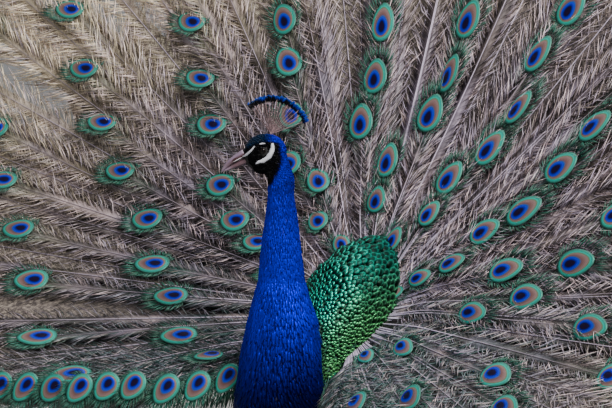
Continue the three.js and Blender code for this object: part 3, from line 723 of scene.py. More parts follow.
def build_eye_spots(material):
    place, out, over, front = eye_frames
    count = len(place)
    turns = 20
    turn = np.arange(turns) * 2 * math.pi / turns
    scale = eye_scale(feather_length)
    half_long = scale * EYE_LENGTH / 2 * vary(count, 0.06)
    half_wide = scale * EYE_WIDTH / 2 * vary(count, 0.06) * np.where(in_low_row, 1.12, 1.0)
    local, shade = [(0.0, EYE_ZONES[0][2])], [srgb(*EYE_ZONES[0][3])]
    for wide, long, middle, colour in EYE_ZONES[1:]:
        point = 1 + 0.10 * np.maximum(np.sin(turn), 0) ** 3
        x = wide * np.cos(turn) * (1 - 0.10 * np.sin(turn))
        y = middle + long * np.sin(turn) * point
        local += list(zip(x, y))
        shade += [srgb(*colour)] * turns
    local, shade = np.array(local), np.array(shade)
    rings = len(EYE_ZONES) - 1
    back = len(local)
    rim = local[1 + (rings - 1) * turns:]
    local = np.concatenate([local, rim * 0.98, [[0.0, 0.0]]])
    shade = np.concatenate([shade, np.tile(srgb(96, 80, 66), (turns + 1, 1))])
    dome = 0.0030 * (1 - (local ** 2).sum(1).clip(0, 1))
    dome[back:] -= 0.0012
    tris = [[0, 1 + k, 1 + (k + 1) % turns] for k in range(turns)]
    tris += [[len(local) - 1, back + (k + 1) % turns, back + k] for k in range(turns)]
    quads = []
    for ring in range(rings - 1):
        a, b = 1 + ring * turns, 1 + (ring + 1) * turns
        quads += [[a + k, b + k, b + (k + 1) % turns, a + (k + 1) % turns] for k in range(turns)]
    outer = 1 + (rings - 1) * turns
    quads += [[outer + k, back + k, back + (k + 1) % turns, outer + (k + 1) % turns] for k in range(turns)]
    points = (place[:, None] + over[:, None] * local[None, :, :1] * half_wide[:, None, None]
              + out[:, None] * local[None, :, 1:] * half_long[:, None, None]
              + front[:, None] * dome[None, :, None])
    tone = np.repeat(shade[None], count, 0) * vary(count, 0.12)[:, None, None]
    cells = 8
    pieces = 3
    size = len(local)
    for k in range(pieces):
        mine = np.arange(k, count, pieces)
        cell = np.arange(len(mine))
        corner = np.stack([cell % cells, cell // cells], -1) / cells
        uv = corner[:, None] + (local[None] * 0.45 + 0.5) / cells
        faces = repeat_faces([np.array(quads), np.array(tris)], len(mine), size)
        values = {"tint": tone[mine].reshape(-1, 3), "across": np.tile(local[:, 0], len(mine)),
                  "along": np.tile(local[:, 1], len(mine))}
        obj = make_object(f"train_eyes_{k + 1}", points[mine], faces, values, uv.reshape(-1, 2))
        dress(obj, material, "train_feathers")


def eye_material():
    """The spots' own rings, with the fine grooves of the barbs that carry them."""
    nodes = Nodes("train_eyes")
    across, along = nodes.attribute("across", "Fac"), nodes.attribute("along", "Fac")
    slope = nodes.math("SUBTRACT", along, nodes.math("MULTIPLY", nodes.math("ABSOLUTE", across, 0.0), 0.8))
    groove = nodes.math("SINE", nodes.math("MULTIPLY", slope, 75.0), 0.0)
    line = nodes.span(groove, 0.72, 1.15, -1.0, 1.0)
    nodes.bump(line, 0.35, 0.0006)
    return nodes.finish(nodes.scale_colour(nodes.attribute("tint"), line), 0.45, 0.3, Specular_IOR_Level=0.2)


def build_fringes(material):
    """The close green barbs that ring each eye spot and fan out past its end."""
    place, out, over, front = eye_frames
    each = 58
    count = len(place)
    turn = np.linspace(-0.36 * math.pi, 1.36 * math.pi, each)
    which = np.repeat(np.arange(count), each)
    angle = np.tile(turn, count) + rng.uniform(-0.05, 0.05, count * each)
    scale = eye_scale(feather_length)[which]
    wide, long = EYE_WIDTH / 2 * scale * 0.93, EYE_LENGTH / 2 * scale * 0.93
    root = place[which] + over[which] * (wide * np.cos(angle))[:, None] + out[which] * (long * np.sin(angle))[:, None]
    root = root - front[which] * 0.001
    way = unit(over[which] * np.cos(angle)[:, None] + out[which] * (np.sin(angle) + 0.75)[:, None])
    length = (0.019 + 0.016 * smoothstep(np.sin(angle), -0.6, 0.9)) * scale * vary(len(which), 0.25)
    way_tip = unit(way + out[which] * 0.35)
    lift = front[which] * rng.uniform(-0.004, 0.004, len(which))[:, None]
    middle = root + way * (length * 0.5)[:, None]
    tip = root + (way + way_tip) * (length * 0.5)[:, None] + lift
    width = 0.0019 * scale * vary(len(which), 0.2)
    points, faces, along, across = spikes(root, middle, tip, np.cross(front[which], way), front[which], width)
    base = mix(srgb(22, 118, 102), srgb(40, 104, 80), rng.random(len(which)))
    end = mix(srgb(40, 86, 76), srgb(100, 102, 98), rng.random(len(which)))
    tint = base[:, None] * (1 - along[..., None]) + end[:, None] * along[..., None]
    flat = fan_map(feather_length[which], feather_angle[which])
    flat = flat + 0.02 * np.stack([np.cos(angle), np.sin(angle)], -1)
    uv = tuft_map(flat, along, across)
    obj = make_object("train_fringes", points, faces, {"tint": tint.reshape(-1, 3)}, uv)
    dress(obj, material, "train_feathers")


def build_low_fringe(material):
    """The close green barbs that hang along the level lower edge, under its row of eye spots."""
    each = 1500
    tries = np.linspace(0.11, 0.60, 60)
    row = np.interp(np.linspace(0.11, 0.60, each), tries, [low_row_angle(t) for t in tries])
    distance = np.tile(np.linspace(0.11, 0.60, each), 2) + rng.uniform(-0.002, 0.002, 2 * each)
    angle = np.concatenate([-row, row])
    place, out, over, normal = train_frame(distance, angle)
    root = place + normal * 0.012 + UP * rng.uniform(-0.012, 0.014, len(angle))[:, None]
    way = unit(out * 0.35 - UP + 0.10 * rng.normal(size=out.shape))
    length = (0.026 * vary(len(angle), 0.3))[:, None]
    middle = root + way * length * 0.5 + normal * 0.001
    tip = root + way * length
    width = 0.0019 * vary(len(angle), 0.25)
    points, faces, along, across = spikes(root, middle, tip, np.cross(normal, way), normal, width)
    tint = mix(srgb(18, 92, 74), srgb(34, 60, 54), rng.random(len(angle))) * vary(len(angle), 0.3)[:, None]
    uv = tuft_map(fan_map(distance, angle), along, across)
    values = {"tint": np.repeat(tint, 5, 0)}
    dress(make_object("train_low_fringe", points, faces, values, uv), material, "train_feathers")


eye_frames = vane_frames()
barb_material = tinted_material("train_barbs", 0.5, 0.15, speckle=60.0, depth=0.3, bump=0.1)
build_sheet(sheet_material())
build_shafts(tinted_material("train_shafts", 0.4, 0.0, speckle=200.0, depth=0.15, bump=0.1))
build_ribbons(barb_material)
build_barbs(barb_material)
build_quills(tinted_material("train_quills", 0.5, speckle=60.0, depth=0.2))
build_eye_spots(eye_material())
fringe_material = tinted_material("train_fringes", 0.45, 0.2, speckle=80.0, depth=0.25, bump=0.1)
build_fringes(fringe_material)
build_low_fringe(fringe_material)


# ---- the skin ---------------------------------------------------------------------------------
BLUE = srgb(0, 1, 200)
DEEP_BLUE = srgb(0, 2, 66)
FACE_BLACK = srgb(4, 4, 8)
FRONT_CROWN = srgb(6, 34, 62)
GREEN = srgb(20, 90, 62)
BODY_DARK = srgb(22, 34, 30)
BARE_WHITE = srgb(206, 208, 220)


def head_parts(place):
    """How far forward, sideways and up a place is from the middle of the skull."""
    offset = place - SKULL
    return offset @ HEAD_FRONT, offset @ HEAD_SIDE, offset[..., 2]


def saddle_share(place):
    """1 on the saddle's scaled feathers and 0 elsewhere."""
    y, z = place[..., 1], place[..., 2]
    edge = -0.345 + 0.35 * np.clip(y - 0.08, 0, 1)
    front = 0.052 - 0.35 * np.clip(-0.27 - z, 0, 1)
    return smoothstep(z, edge - 0.006, edge + 0.006) * smoothstep(y, front - 0.006, front + 0.006) * (z < -0.12)


def body_tint(place):
    """The bird's ground colour at a place of its skin."""
    x, y, z = place[..., 0], place[..., 1], place[..., 2]
    tint = mix(BLUE, DEEP_BLUE, smoothstep(z, -0.23, -0.37))
    tint = mix(tint, BODY_DARK, smoothstep(y, 0.03, 0.07) * smoothstep(z, -0.20, -0.26))
    tint = mix(tint, BODY_DARK, smoothstep(z, -0.42, -0.47))
    tint = mix(tint, GREEN, saddle_share(place))
    forward, side, up = head_parts(place)
    black_edge = np.interp(up, [-0.050, -0.0426, -0.0235, -0.0075, 0.0136], [0.006, -0.006, -0.0142, -0.0196, -0.0164])
    near = smoothstep(up, -0.055, -0.046)
    tint = mix(tint, FACE_BLACK, near * smoothstep(forward - black_edge, -0.003, 0.003))
    crown_edge = np.interp(forward, [-0.016, 0.008, 0.0166, 0.037], [0.017, 0.0195, 0.0165, 0.006])
    crown = mix(BLUE, FRONT_CROWN, smoothstep(forward, -0.012, 0.010))
    tint[...] = tint + (crown - tint) * (near * smoothstep(up - crown_edge, -0.002, 0.002))[..., None]
    return tint


def mesh_values(mesh, which, key, width=1):
    """One property of all of a mesh's vertices or faces, as an array."""
    data = np.empty(len(getattr(mesh, which)) * width, np.float32)
    getattr(mesh, which).foreach_get(key, data)
    return data.reshape(-1, width).astype(float) if width > 1 else data.astype(float)


def soft_copy(name, nodes, voxel, rounds, sink):
    """One smooth closed mesh over CAD nodes, drawn in by the depth of what covers it."""
    points, faces, start = [], [], 0
    for node in nodes:
        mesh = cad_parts[node].data
        points.append(mesh_values(mesh, "vertices", "co", 3))
        faces += [[start + i for i in p.vertices] for p in mesh.polygons]
        start += len(mesh.vertices)
    mesh = bpy.data.meshes.new(name)
    mesh.from_pydata(np.concatenate(points).tolist(), [], faces)
    obj = bpy.data.objects.new(name, mesh)
    bpy.context.scene.collection.objects.link(obj)
    remesh = obj.modifiers.new("remesh", "REMESH")
    remesh.mode = "VOXEL"
    remesh.voxel_size = voxel
    soften = obj.modifiers.new("soften", "SMOOTH")
    soften.factor = 0.6
    soften.iterations = rounds
    shrink = obj.modifiers.new("sink", "DISPLACE")
    shrink.strength = -sink
    shrink.mid_level = 0.0
    depsgraph = bpy.context.evaluated_depsgraph_get()
    obj.data = bpy.data.meshes.new_from_object(obj.evaluated_get(depsgraph))
    obj.modifiers.clear()
    obj.data.name = name
    obj.data.shade_smooth()
    return obj


def set_tint(obj, colour):
    layer = obj.data.attributes.new("tint", "FLOAT_COLOR", "POINT")
    data = np.ones((len(colour), 4), np.float32)
    data[:, :3] = colour
    layer.data.foreach_set("color", data.ravel())


# The head's coat is thinner than the body's, so its skin lies this much nearer the solids.
HEAD_RISE = 0.0019
FLESH = ["head", "neck_upper", "neck_middle", "neck_lower", "back", "trunk", "thigh_left", "thigh_right"]
skin = soft_copy("skin", FLESH, 0.0042, 5, 0.0025)
skin_place = mesh_values(skin.data, "vertices", "co", 3)
head_rise = HEAD_RISE * smoothstep(skin_place[:, 2] - ORIGIN[2], -0.070, -0.045)
skin_place = skin_place + mesh_values(skin.data, "vertices", "normal", 3) * head_rise[:, None]
skin.data.vertices.foreach_set("co", skin_place.astype(np.float32).ravel())
skin.data.update()
# painted shade: the skin takes the coat's colour darkened to 0.7, as the shade in the gaps between feathers
set_tint(skin, body_tint(skin_place - ORIGIN) * 0.7)
dress(skin, tinted_material("skin", 0.7, 0.0, speckle=400.0), "body_dark", *FLESH)


# ---- the coat on the body ---------------------------------------------------------------------
def scatter(mesh, wanted, weight, spacing):
    """Places spread over a mesh, no two nearer than the spacing there, with their normals."""
    middle = mesh_values(mesh, "polygons", "center", 3) - ORIGIN
    normal = mesh_values(mesh, "polygons", "normal", 3)
    chance = mesh_values(mesh, "polygons", "area") * weight(middle)
    pick = rng.choice(len(middle), wanted, p=chance / chance.sum())
    jitter = rng.uniform(-1, 1, (wanted, 3)) * 0.0018
    jitter -= (jitter * normal[pick]).sum(1, keepdims=True) * normal[pick]
    place = middle[pick] + jitter
    gap = spacing(place)
    tree = KDTree(wanted)
    for i, p in enumerate(place):
        tree.insert(p, i)
    tree.balance()
    keep = np.ones(wanted, bool)
    for i in range(wanted):
        if keep[i]:
            for _, j, _ in tree.find_range(place[i], gap[i]):
                if j > i:
                    keep[j] = False
    return place[keep], normal[pick][keep]


def lie_of_coat(place, normal):
    """The way that the feathers lie at a place."""
    x, y, z = place.T
    guide = np.tile([0, 0.15, -1.0], (len(place), 1))

    def turn(guide, share, other):
        return guide * (1 - share[:, None]) + other * share[:, None]

    guide = turn(guide, smoothstep(z, -0.30, -0.42), np.array([0, 0.9, -0.45]))
    spread = np.stack([6.0 * x, np.full_like(x, 0.9), np.full_like(x, 0.45)], -1)
    guide = turn(guide, saddle_share(place), spread)
    guide = turn(guide, smoothstep(z, -0.48, -0.52), np.array([0, 0.3, -1.0]))
    guide = turn(guide, smoothstep(z, -0.055, -0.03), -HEAD_FRONT * 0.9 - UP * 0.4)
    return across_part(guide, normal)


def body_map(place, normal):
    """The body unwrapped: round its long axis, and along it from the bill to the rump."""
    along = place[:, 1] - 1.2 * place[:, 2]
    turn = np.arctan2(place[:, 0], (place[:, 2] + 0.3) * 0.2 + normal[:, 2] * 0.05 + normal[:, 1] * 0.08)
    return np.stack([turn, along], -1)


TINY_LEAF = leaf_template([(0.0, 0.5), (0.55, 1.0)], 0.22, 3)
SLIM_LEAF = leaf_template([(0.0, 0.45), (0.4, 1.0), (0.8, 0.7)], 0.16, 3)
FLAT_LEAF = leaf_template([(0.0, 0.3), (0.35, 0.8), (0.7, 1.0), (0.92, 0.55)], 0.10, 3)
ROUND_LEAF = leaf_template([(0.0, 0.55), (0.35, 0.95), (0.65, 1.0), (0.86, 0.72), (0.96, 0.38)], 0.20, 5)
LONG_LEAF = leaf_template([(0.0, 0.12), (0.12, 0.75), (0.35, 1.0), (0.6, 1.0), (0.8, 0.86), (0.93, 0.55)], 0.06, 7)


def coat_piece(name, place, normal, way, length, width, template, tint, material, slot, tilt=0.10, curl=0.0):
    """A piece of coat: one leaf for each place, tilted up from the skin, with its bake map."""
    way = across_part(way + 0.10 * rng.normal(size=way.shape), normal)
    raised = unit(way + normal * tilt)
    over = unit(normal - way * tilt)
    points, faces, along, across = leaves(template, place, raised, over, length, width, curl)
    colour = np.repeat(tint[:, None], points.shape[1], 1)
    values = {"tint": colour.reshape(-1, 3), "along": along.ravel(), "across": across.ravel()}
    uv = tuft_map(body_map(place, normal), along, across)
    print(name, len(place), "leaves", sum(len(f) * (np.shape(f)[1] - 2) for f in faces), "triangles")
    return dress(make_object(name, points, faces, values, uv), material, slot)


def velvet_material(name):
    nodes = Nodes(name)
    grain = nodes.noise(320.0, 4.0)
    # painted highlights: the lighter and darker patches are stretched upright, standing in for the vertical highlights
    # of the neck
    patch = nodes.span(nodes.noise(16.0, 3.0, (1.0, 1.0, 0.3)), 0.75, 1.25, 0.35, 0.65)
    # each feather is darker at its root and lighter at its tip: painted shade at the root and a painted highlight at
    # the tip
    tone = nodes.math("MULTIPLY", nodes.span(nodes.attribute("along", "Fac"), 0.85, 1.15), patch)
    tone = nodes.math("MULTIPLY", tone, nodes.span(grain, 0.82, 1.18, 0.3, 0.7))
    nodes.bump(nodes.noise(900.0, 2.0), 0.25)
    return nodes.finish(nodes.scale_colour(nodes.attribute("tint"), tone), 0.5, 0.85, Specular_IOR_Level=0.3)


def scale_material():
    """Saddle scales: a dark root that is partly their own colour and partly painted shade in the gaps, a bronze
    middle, a bright band that is a painted highlight on each lit rim, and a dark edge that is painted shade.
    """
    nodes = Nodes("saddle_scales")
    side = nodes.math("POWER", nodes.math("ABSOLUTE", nodes.attribute("across", "Fac"), 0.0), 2.0)
    ahead = nodes.span(nodes.attribute("along", "Fac"), 0.0, 1.0, 0.35, 1.0)
    reach = nodes.math("SQRT", nodes.math("ADD", side, nodes.math("POWER", ahead, 2.0)), 0.0)
    band = nodes.add("ShaderNodeValToRGB")
    # the bright band near the rim is a painted highlight and the dark edge past it is painted shade
    stops = [(0.0, 0.08), (0.35, 0.20), (0.55, 0.36), (0.72, 1.5), (0.88, 1.3), (1.0, 0.12)]
    for index, (spot, tone) in enumerate(stops):
        stop = band.color_ramp.elements[index] if index < 2 else band.color_ramp.elements.new(spot)
        stop.position = spot
        stop.color = (tone, tone, tone, 1)
    nodes.link(reach, band.inputs[0])
    # darker towards the root: partly the scales' own dark root, partly painted shade in the gaps between scales
    root = nodes.span(nodes.attribute("along", "Fac"), 0.15, 1.0, 0.15, 0.6)
    grain = nodes.span(nodes.noise(500.0, 3.0), 0.75, 1.25, 0.3, 0.7)
    tone = nodes.math("MULTIPLY", nodes.math("MULTIPLY", band.outputs[0], root), grain)
    nodes.bump(nodes.noise(1200.0, 2.0), 0.3)
    return nodes.finish(nodes.scale_colour(nodes.attribute("tint"), tone), 0.35, 0.75, Specular_IOR_Level=0.3)


def saddle_spacing(place):
    return 0.0031 + 0.0056 * smoothstep(place[:, 1] + 0.5 * (place[:, 2] + 0.25), 0.03, 0.26)


def bare_share(place):
    """1 on the white bare skin of the face and round the eye."""
    forward, side, up = head_parts(place)
    gap = np.full(len(place), 9.0)
    for path, half in FACE_PATHS:
        for f, u in path:
            gap = np.minimum(gap, np.hypot(forward - f, up - u) - half)
    eye_gap = np.hypot(forward - 0.0065, up - 0.0045) - 0.0075
    return smoothstep(np.minimum(gap, eye_gap), 0.001, -0.001) * (up > -0.03)


# Bare white skin, as forward and up places from the middle of the skull, and a half width.
FACE_PATHS = [
    ([(0.0335, -0.0045), (0.028, 0.000), (0.023, 0.005), (0.018, 0.0110)], 0.0016),
    ([(0.0110, 0.0140), (0.0070, 0.0150), (0.0025, 0.0148)], 0.0012),
    ([(-0.0070, 0.0150), (-0.0075, 0.0085), (-0.0055, 0.0020), (-0.0015, -0.0045), (0.0060, -0.0095),
      (0.0120, -0.0110), (0.0165, -0.0135)], 0.0038),
]


def build_body_coat():
    velvet = velvet_material("velvet_feathers")

    def head_weight(p):
        forward, side, up = head_parts(p)
        bill = (forward > 0.0215) & (up < 0.004) & (np.abs(side) < 0.008)
        return (p[:, 2] > -0.05) * (1 - bare_share(p)) * ~bill

    place, normal = scatter(skin.data, 14000, head_weight, lambda p: np.full(len(p), 0.0016))
    size = 0.0052 * vary(len(place), 0.2)
    tint = body_tint(place) * vary(len(place), 0.2)[:, None]
    coat_piece("coat_head", place, normal, lie_of_coat(place, normal), size, size * 0.40, TINY_LEAF, tint,
               velvet, "face_feathers", tilt=0.12)

    def neck_weight(p):
        front = (1 - saddle_share(p)) * smoothstep(p[:, 1], 0.14, 0.10) * smoothstep(p[:, 2], -0.49, -0.46)
        return front * (p[:, 2] <= -0.048)

    place, normal = scatter(skin.data, 36000, neck_weight, lambda p: 0.0022 + 0.0026 * smoothstep(p[:, 2], -0.10, -0.38))
    size = (0.0085 + 0.010 * smoothstep(place[:, 2], -0.06, -0.36)) * vary(len(place), 0.2)
    tint = body_tint(place) * vary(len(place), 0.14)[:, None]
    coat_piece("coat_neck", place, normal, lie_of_coat(place, normal), size, size * 0.36, SLIM_LEAF, tint,
               velvet, "neck_blue")

    place, normal = scatter(skin.data, 14000, saddle_share, saddle_spacing)
    width = saddle_spacing(place) * 1.7 * vary(len(place), 0.08)
    # the shift from teal to golden green towards the bird's left and lower down is partly the feathers' own colour and
    # partly a painted iridescent sheen
    golden_sheen = 0.85 * smoothstep(place[:, 0] * 1.4 - 0.5 * (place[:, 2] + 0.25), 0.02, 0.12)
    tint = mix(srgb(10, 150, 128), srgb(96, 172, 92), golden_sheen)
    bronze = smoothstep(place[:, 1], 0.20, 0.27) * rng.random(len(place)) * 0.5
    tint = mix(tint, srgb(150, 120, 104), bronze) * 0.74 * vary(len(place), 0.34)[:, None]
    coat_piece("coat_saddle", place, normal, lie_of_coat(place, normal), width * 1.45, width, ROUND_LEAF, tint,
               scale_material(), "saddle_green", tilt=0.24, curl=-0.10)

    def rest_weight(p):
        return (1 - saddle_share(p)) * np.maximum(smoothstep(p[:, 1], 0.10, 0.14), smoothstep(p[:, 2], -0.45, -0.48))

    place, normal = scatter(skin.data, 14000, rest_weight, lambda p: np.full(len(p), 0.0060))
    size = 0.026 * vary(len(place), 0.2)
    buff = smoothstep(place[:, 2], -0.46, -0.54) * 0.6
    tint = mix(BODY_DARK, srgb(104, 88, 68), buff * rng.random(len(place)))
    coat_piece("coat_body", place, normal, lie_of_coat(place, normal), size, size * 0.4, SLIM_LEAF, tint,
               tinted_material("body_feathers", 0.75), "body_dark", tilt=0.08)


build_body_coat()


# ---- head details -----------------------------------------------------------------------------
BILL_DROP = math.radians(30)
BILL_WAY = HEAD_FRONT * math.cos(BILL_DROP) - UP * math.sin(BILL_DROP)
BILL_UP = HEAD_FRONT * math.sin(BILL_DROP) + UP * math.cos(BILL_DROP)
BILL_BASE = SKULL + HEAD_FRONT * 0.031 - UP * 0.0045
EYE_RADIUS = 0.0056


def build_bill():
    horn = tinted_material("bill_horn", 0.35, speckle=120.0, depth=0.15, bump=0.15)
    for name, sign, length, tall, broad, deep in (("bill_upper", 1, 0.043, 0.0048, 0.0064, 0.12),
                                                  ("bill_lower", -1, 0.039, 0.0031, 0.0059, 0.75)):
        share = np.linspace(0, 1, 18)
        taper = np.sqrt(1 - (0.985 * share) ** 2.2)
        high, wide = tall * taper * (1 + deep * (1 - share) ** 1.5), broad * taper
        hook = 0.0036 * share ** 3 if sign > 0 else 0.0012 * share ** 2
        lift = sign * (high + 0.0003) - hook
        centres = BILL_BASE + BILL_WAY * (share * length)[:, None] + BILL_UP * lift[:, None]
        points, faces = loft(centres, HEAD_SIDE, BILL_UP, wide, high, 20, 0.92)
        out = (points - BILL_BASE) @ BILL_WAY / length
        rise = (points - BILL_BASE) @ BILL_UP
        tint = mix(srgb(92, 70, 78), srgb(124, 106, 128), smoothstep(rise, 0.002, 0.008))
        tint = mix(tint, srgb(140, 122, 140), smoothstep(out, 0.55, 0.95))
        tint = mix(tint, srgb(58, 24, 28), smoothstep(out, 0.62, 0.25) * smoothstep(np.abs(rise - 0.0025), 0.0055, 0.001))
        dress(make_object(name + "_horn", points, faces, {"tint": tint}), horn, "bill_horn", name)
    dark = tinted_material("nostrils", 0.6, speckle=300.0)
    pale = tinted_material("bare_skin", 0.6, speckle=500.0, depth=0.12, bump=0.4)
    parts, rims = [], []
    for sign in (1, -1):
        share = np.linspace(0, 1, 12)
        half = 0.0013 * np.sin(math.pi * np.clip(share, 0.04, 0.96))
        middle = BILL_BASE + BILL_WAY * (0.011 + 0.011 * share)[:, None] + BILL_UP * (0.0055 - 0.001 * share)[:, None]
        middle = middle + HEAD_SIDE * sign * (0.0060 - 0.0005 * share)[:, None]
        parts.append(loft(middle, HEAD_SIDE, BILL_UP, half * 0.7, half, 10))
        rim = BILL_BASE + BILL_WAY * (0.004 + 0.017 * share)[:, None] + BILL_UP * (0.0020 + 0.0004 * share)[:, None]
        rim = rim + HEAD_SIDE * sign * (0.0064 - 0.0006 * share ** 2)[:, None]
        rims.append(loft(rim, HEAD_SIDE, BILL_UP, half * 0.5, half * 0.6, 8))
    # painted shade: the dark red-brown discs stand in for the shade inside the nostril openings
    join("nostrils", parts, srgb(58, 22, 26), dark, "bill_horn")
    join("bill_edges", rims, srgb(196, 190, 198), pale, "bill_horn")
    return pale


def build_face_patches(material):
    """The bare white skin: low pads that follow the head, on both sides."""
    tree = BVHTree.FromPolygons([v.co[:] for v in skin.data.vertices], [p.vertices[:] for p in skin.data.polygons])
    parts = []
    for sign in (1, -1):
        for path, half in FACE_PATHS:
            knots = np.array(path)
            run = np.linspace(0, len(knots) - 1, 26)
            f = np.interp(run, np.arange(len(knots)), knots[:, 0])
            u = np.interp(run, np.arange(len(knots)), knots[:, 1])
            tangent = np.stack([np.gradient(f), np.gradient(u)], -1)
            tangent = unit(tangent)
            sideways = np.stack([-tangent[:, 1], tangent[:, 0]], -1)
            share = run / run[-1]
            wide = half * np.sin(math.pi * np.clip(share * 0.92 + 0.05, 0, 1)) ** 0.55 * (1.15 - 0.45 * share)
            wide = wide * (1 + 0.10 * np.sin(share * 31))
            columns = np.linspace(-1, 1, 9)
            top, under = [], []
            for row in range(len(run)):
                for c in columns:
                    spot = SKULL + HEAD_FRONT * (f[row] + sideways[row, 0] * wide[row] * c)
                    spot = spot + UP * (u[row] + sideways[row, 1] * wide[row] * c)
                    origin = Vector(spot + ORIGIN + HEAD_SIDE * sign * 0.06)
                    hit, normal, _, _ = tree.ray_cast(origin, Vector(-HEAD_SIDE * sign))
                    point = np.array(hit if hit else origin) - ORIGIN
                    out = np.array(normal if hit else HEAD_SIDE * sign)
                    top.append(point + out * (0.0004 + 0.0026 * (1 - c ** 4)))
                    under.append(point - out * 0.001)
            parts.append(closed_sheet(np.array(top), np.array(under), len(run), len(columns), sign < 0))
    join("face_patches", parts, BARE_WHITE, material, "face_feathers")


def closed_sheet(top, under, rows, columns, flip):
    """Faces round a grid of top points and their under points."""
    total = rows * columns
    grid = np.arange(total).reshape(rows, columns)
    a, b, c, d = grid[:-1, :-1], grid[:-1, 1:], grid[1:, 1:], grid[1:, :-1]
    upper = np.stack([a, b, c, d], -1).reshape(-1, 4)
    lower = np.stack([a, d, c, b], -1).reshape(-1, 4) + total
    edge = np.concatenate([grid[0, ::-1], grid[1:, 0], grid[-1, 1:], grid[-2:0:-1, -1]])
    following = np.roll(edge, -1)
    wall = np.stack([edge, following, following + total, edge + total], -1)
    quads = np.concatenate([upper, lower, wall])
    return np.concatenate([top, under]), [quads[:, ::-1] if flip else quads]


def build_eyes(pale):
    nodes = Nodes("eye_glass")
    band = nodes.add("ShaderNodeValToRGB")
    nodes.link(nodes.attribute("turn", "Fac"), band.inputs[0])
    stops = [(0.0, (0.001, 0.001, 0.002)), (0.26, (0.001, 0.001, 0.002)), (0.29, (0.010, 0.004, 0.003)),
             (0.42, (0.005, 0.002, 0.002)), (0.50, (0.002, 0.002, 0.002)), (1.0, (0.01, 0.008, 0.006))]
    for index, (spot, colour) in enumerate(stops):
        stop = band.color_ramp.elements[index] if index < 2 else band.color_ramp.elements.new(spot)
        stop.position = spot
        stop.color = (*colour, 1)
    nodes.bump(nodes.noise(700.0), 0.05)
    wet = nodes.finish(band.outputs[0], 0.04, Specular_IOR_Level=0.2)
    lids = []
    for name, sign in (("eye_left", 1), ("eye_right", -1)):
        middle = SKULL + HEAD_FRONT * 0.0065 + HEAD_SIDE * sign * 0.0132 + UP * 0.0045
        turn = np.linspace(0.03, math.pi - 0.03, 24)
        centres = middle + HEAD_SIDE * sign * (EYE_RADIUS * np.cos(turn))[:, None]
        radius = EYE_RADIUS * np.sin(turn)
        points, faces = loft(centres, HEAD_FRONT, UP * sign, radius, radius, 32)
        away = np.arccos(np.clip((points - middle) @ HEAD_SIDE * sign / EYE_RADIUS, -1, 1)) / math.pi * 2
        dress(make_object(name + "_ball", points, faces, {"turn": away}), wet, "eye_brown", name)
        ring = np.linspace(0, 2 * math.pi, 33)
        around = HEAD_FRONT * np.cos(ring)[:, None] * 1.08 + UP * np.sin(ring)[:, None] * 0.92
        path = middle + HEAD_SIDE * sign * 0.0021 + around * 0.0056
        lids.append(tube(path, np.full(33, 0.0008), 8))
    join("eyelids", lids, srgb(26, 24, 32), tinted_material("eyelids", 0.5, speckle=600.0, bump=0.5), "face_feathers")


CREST_COUNT, CREST_FRONT, CREST_BACK = 17, math.radians(-36), math.radians(69)
CREST_HEIGHT, CREST_TIP, CREST_SUNK = 0.0555, 0.014, 0.005


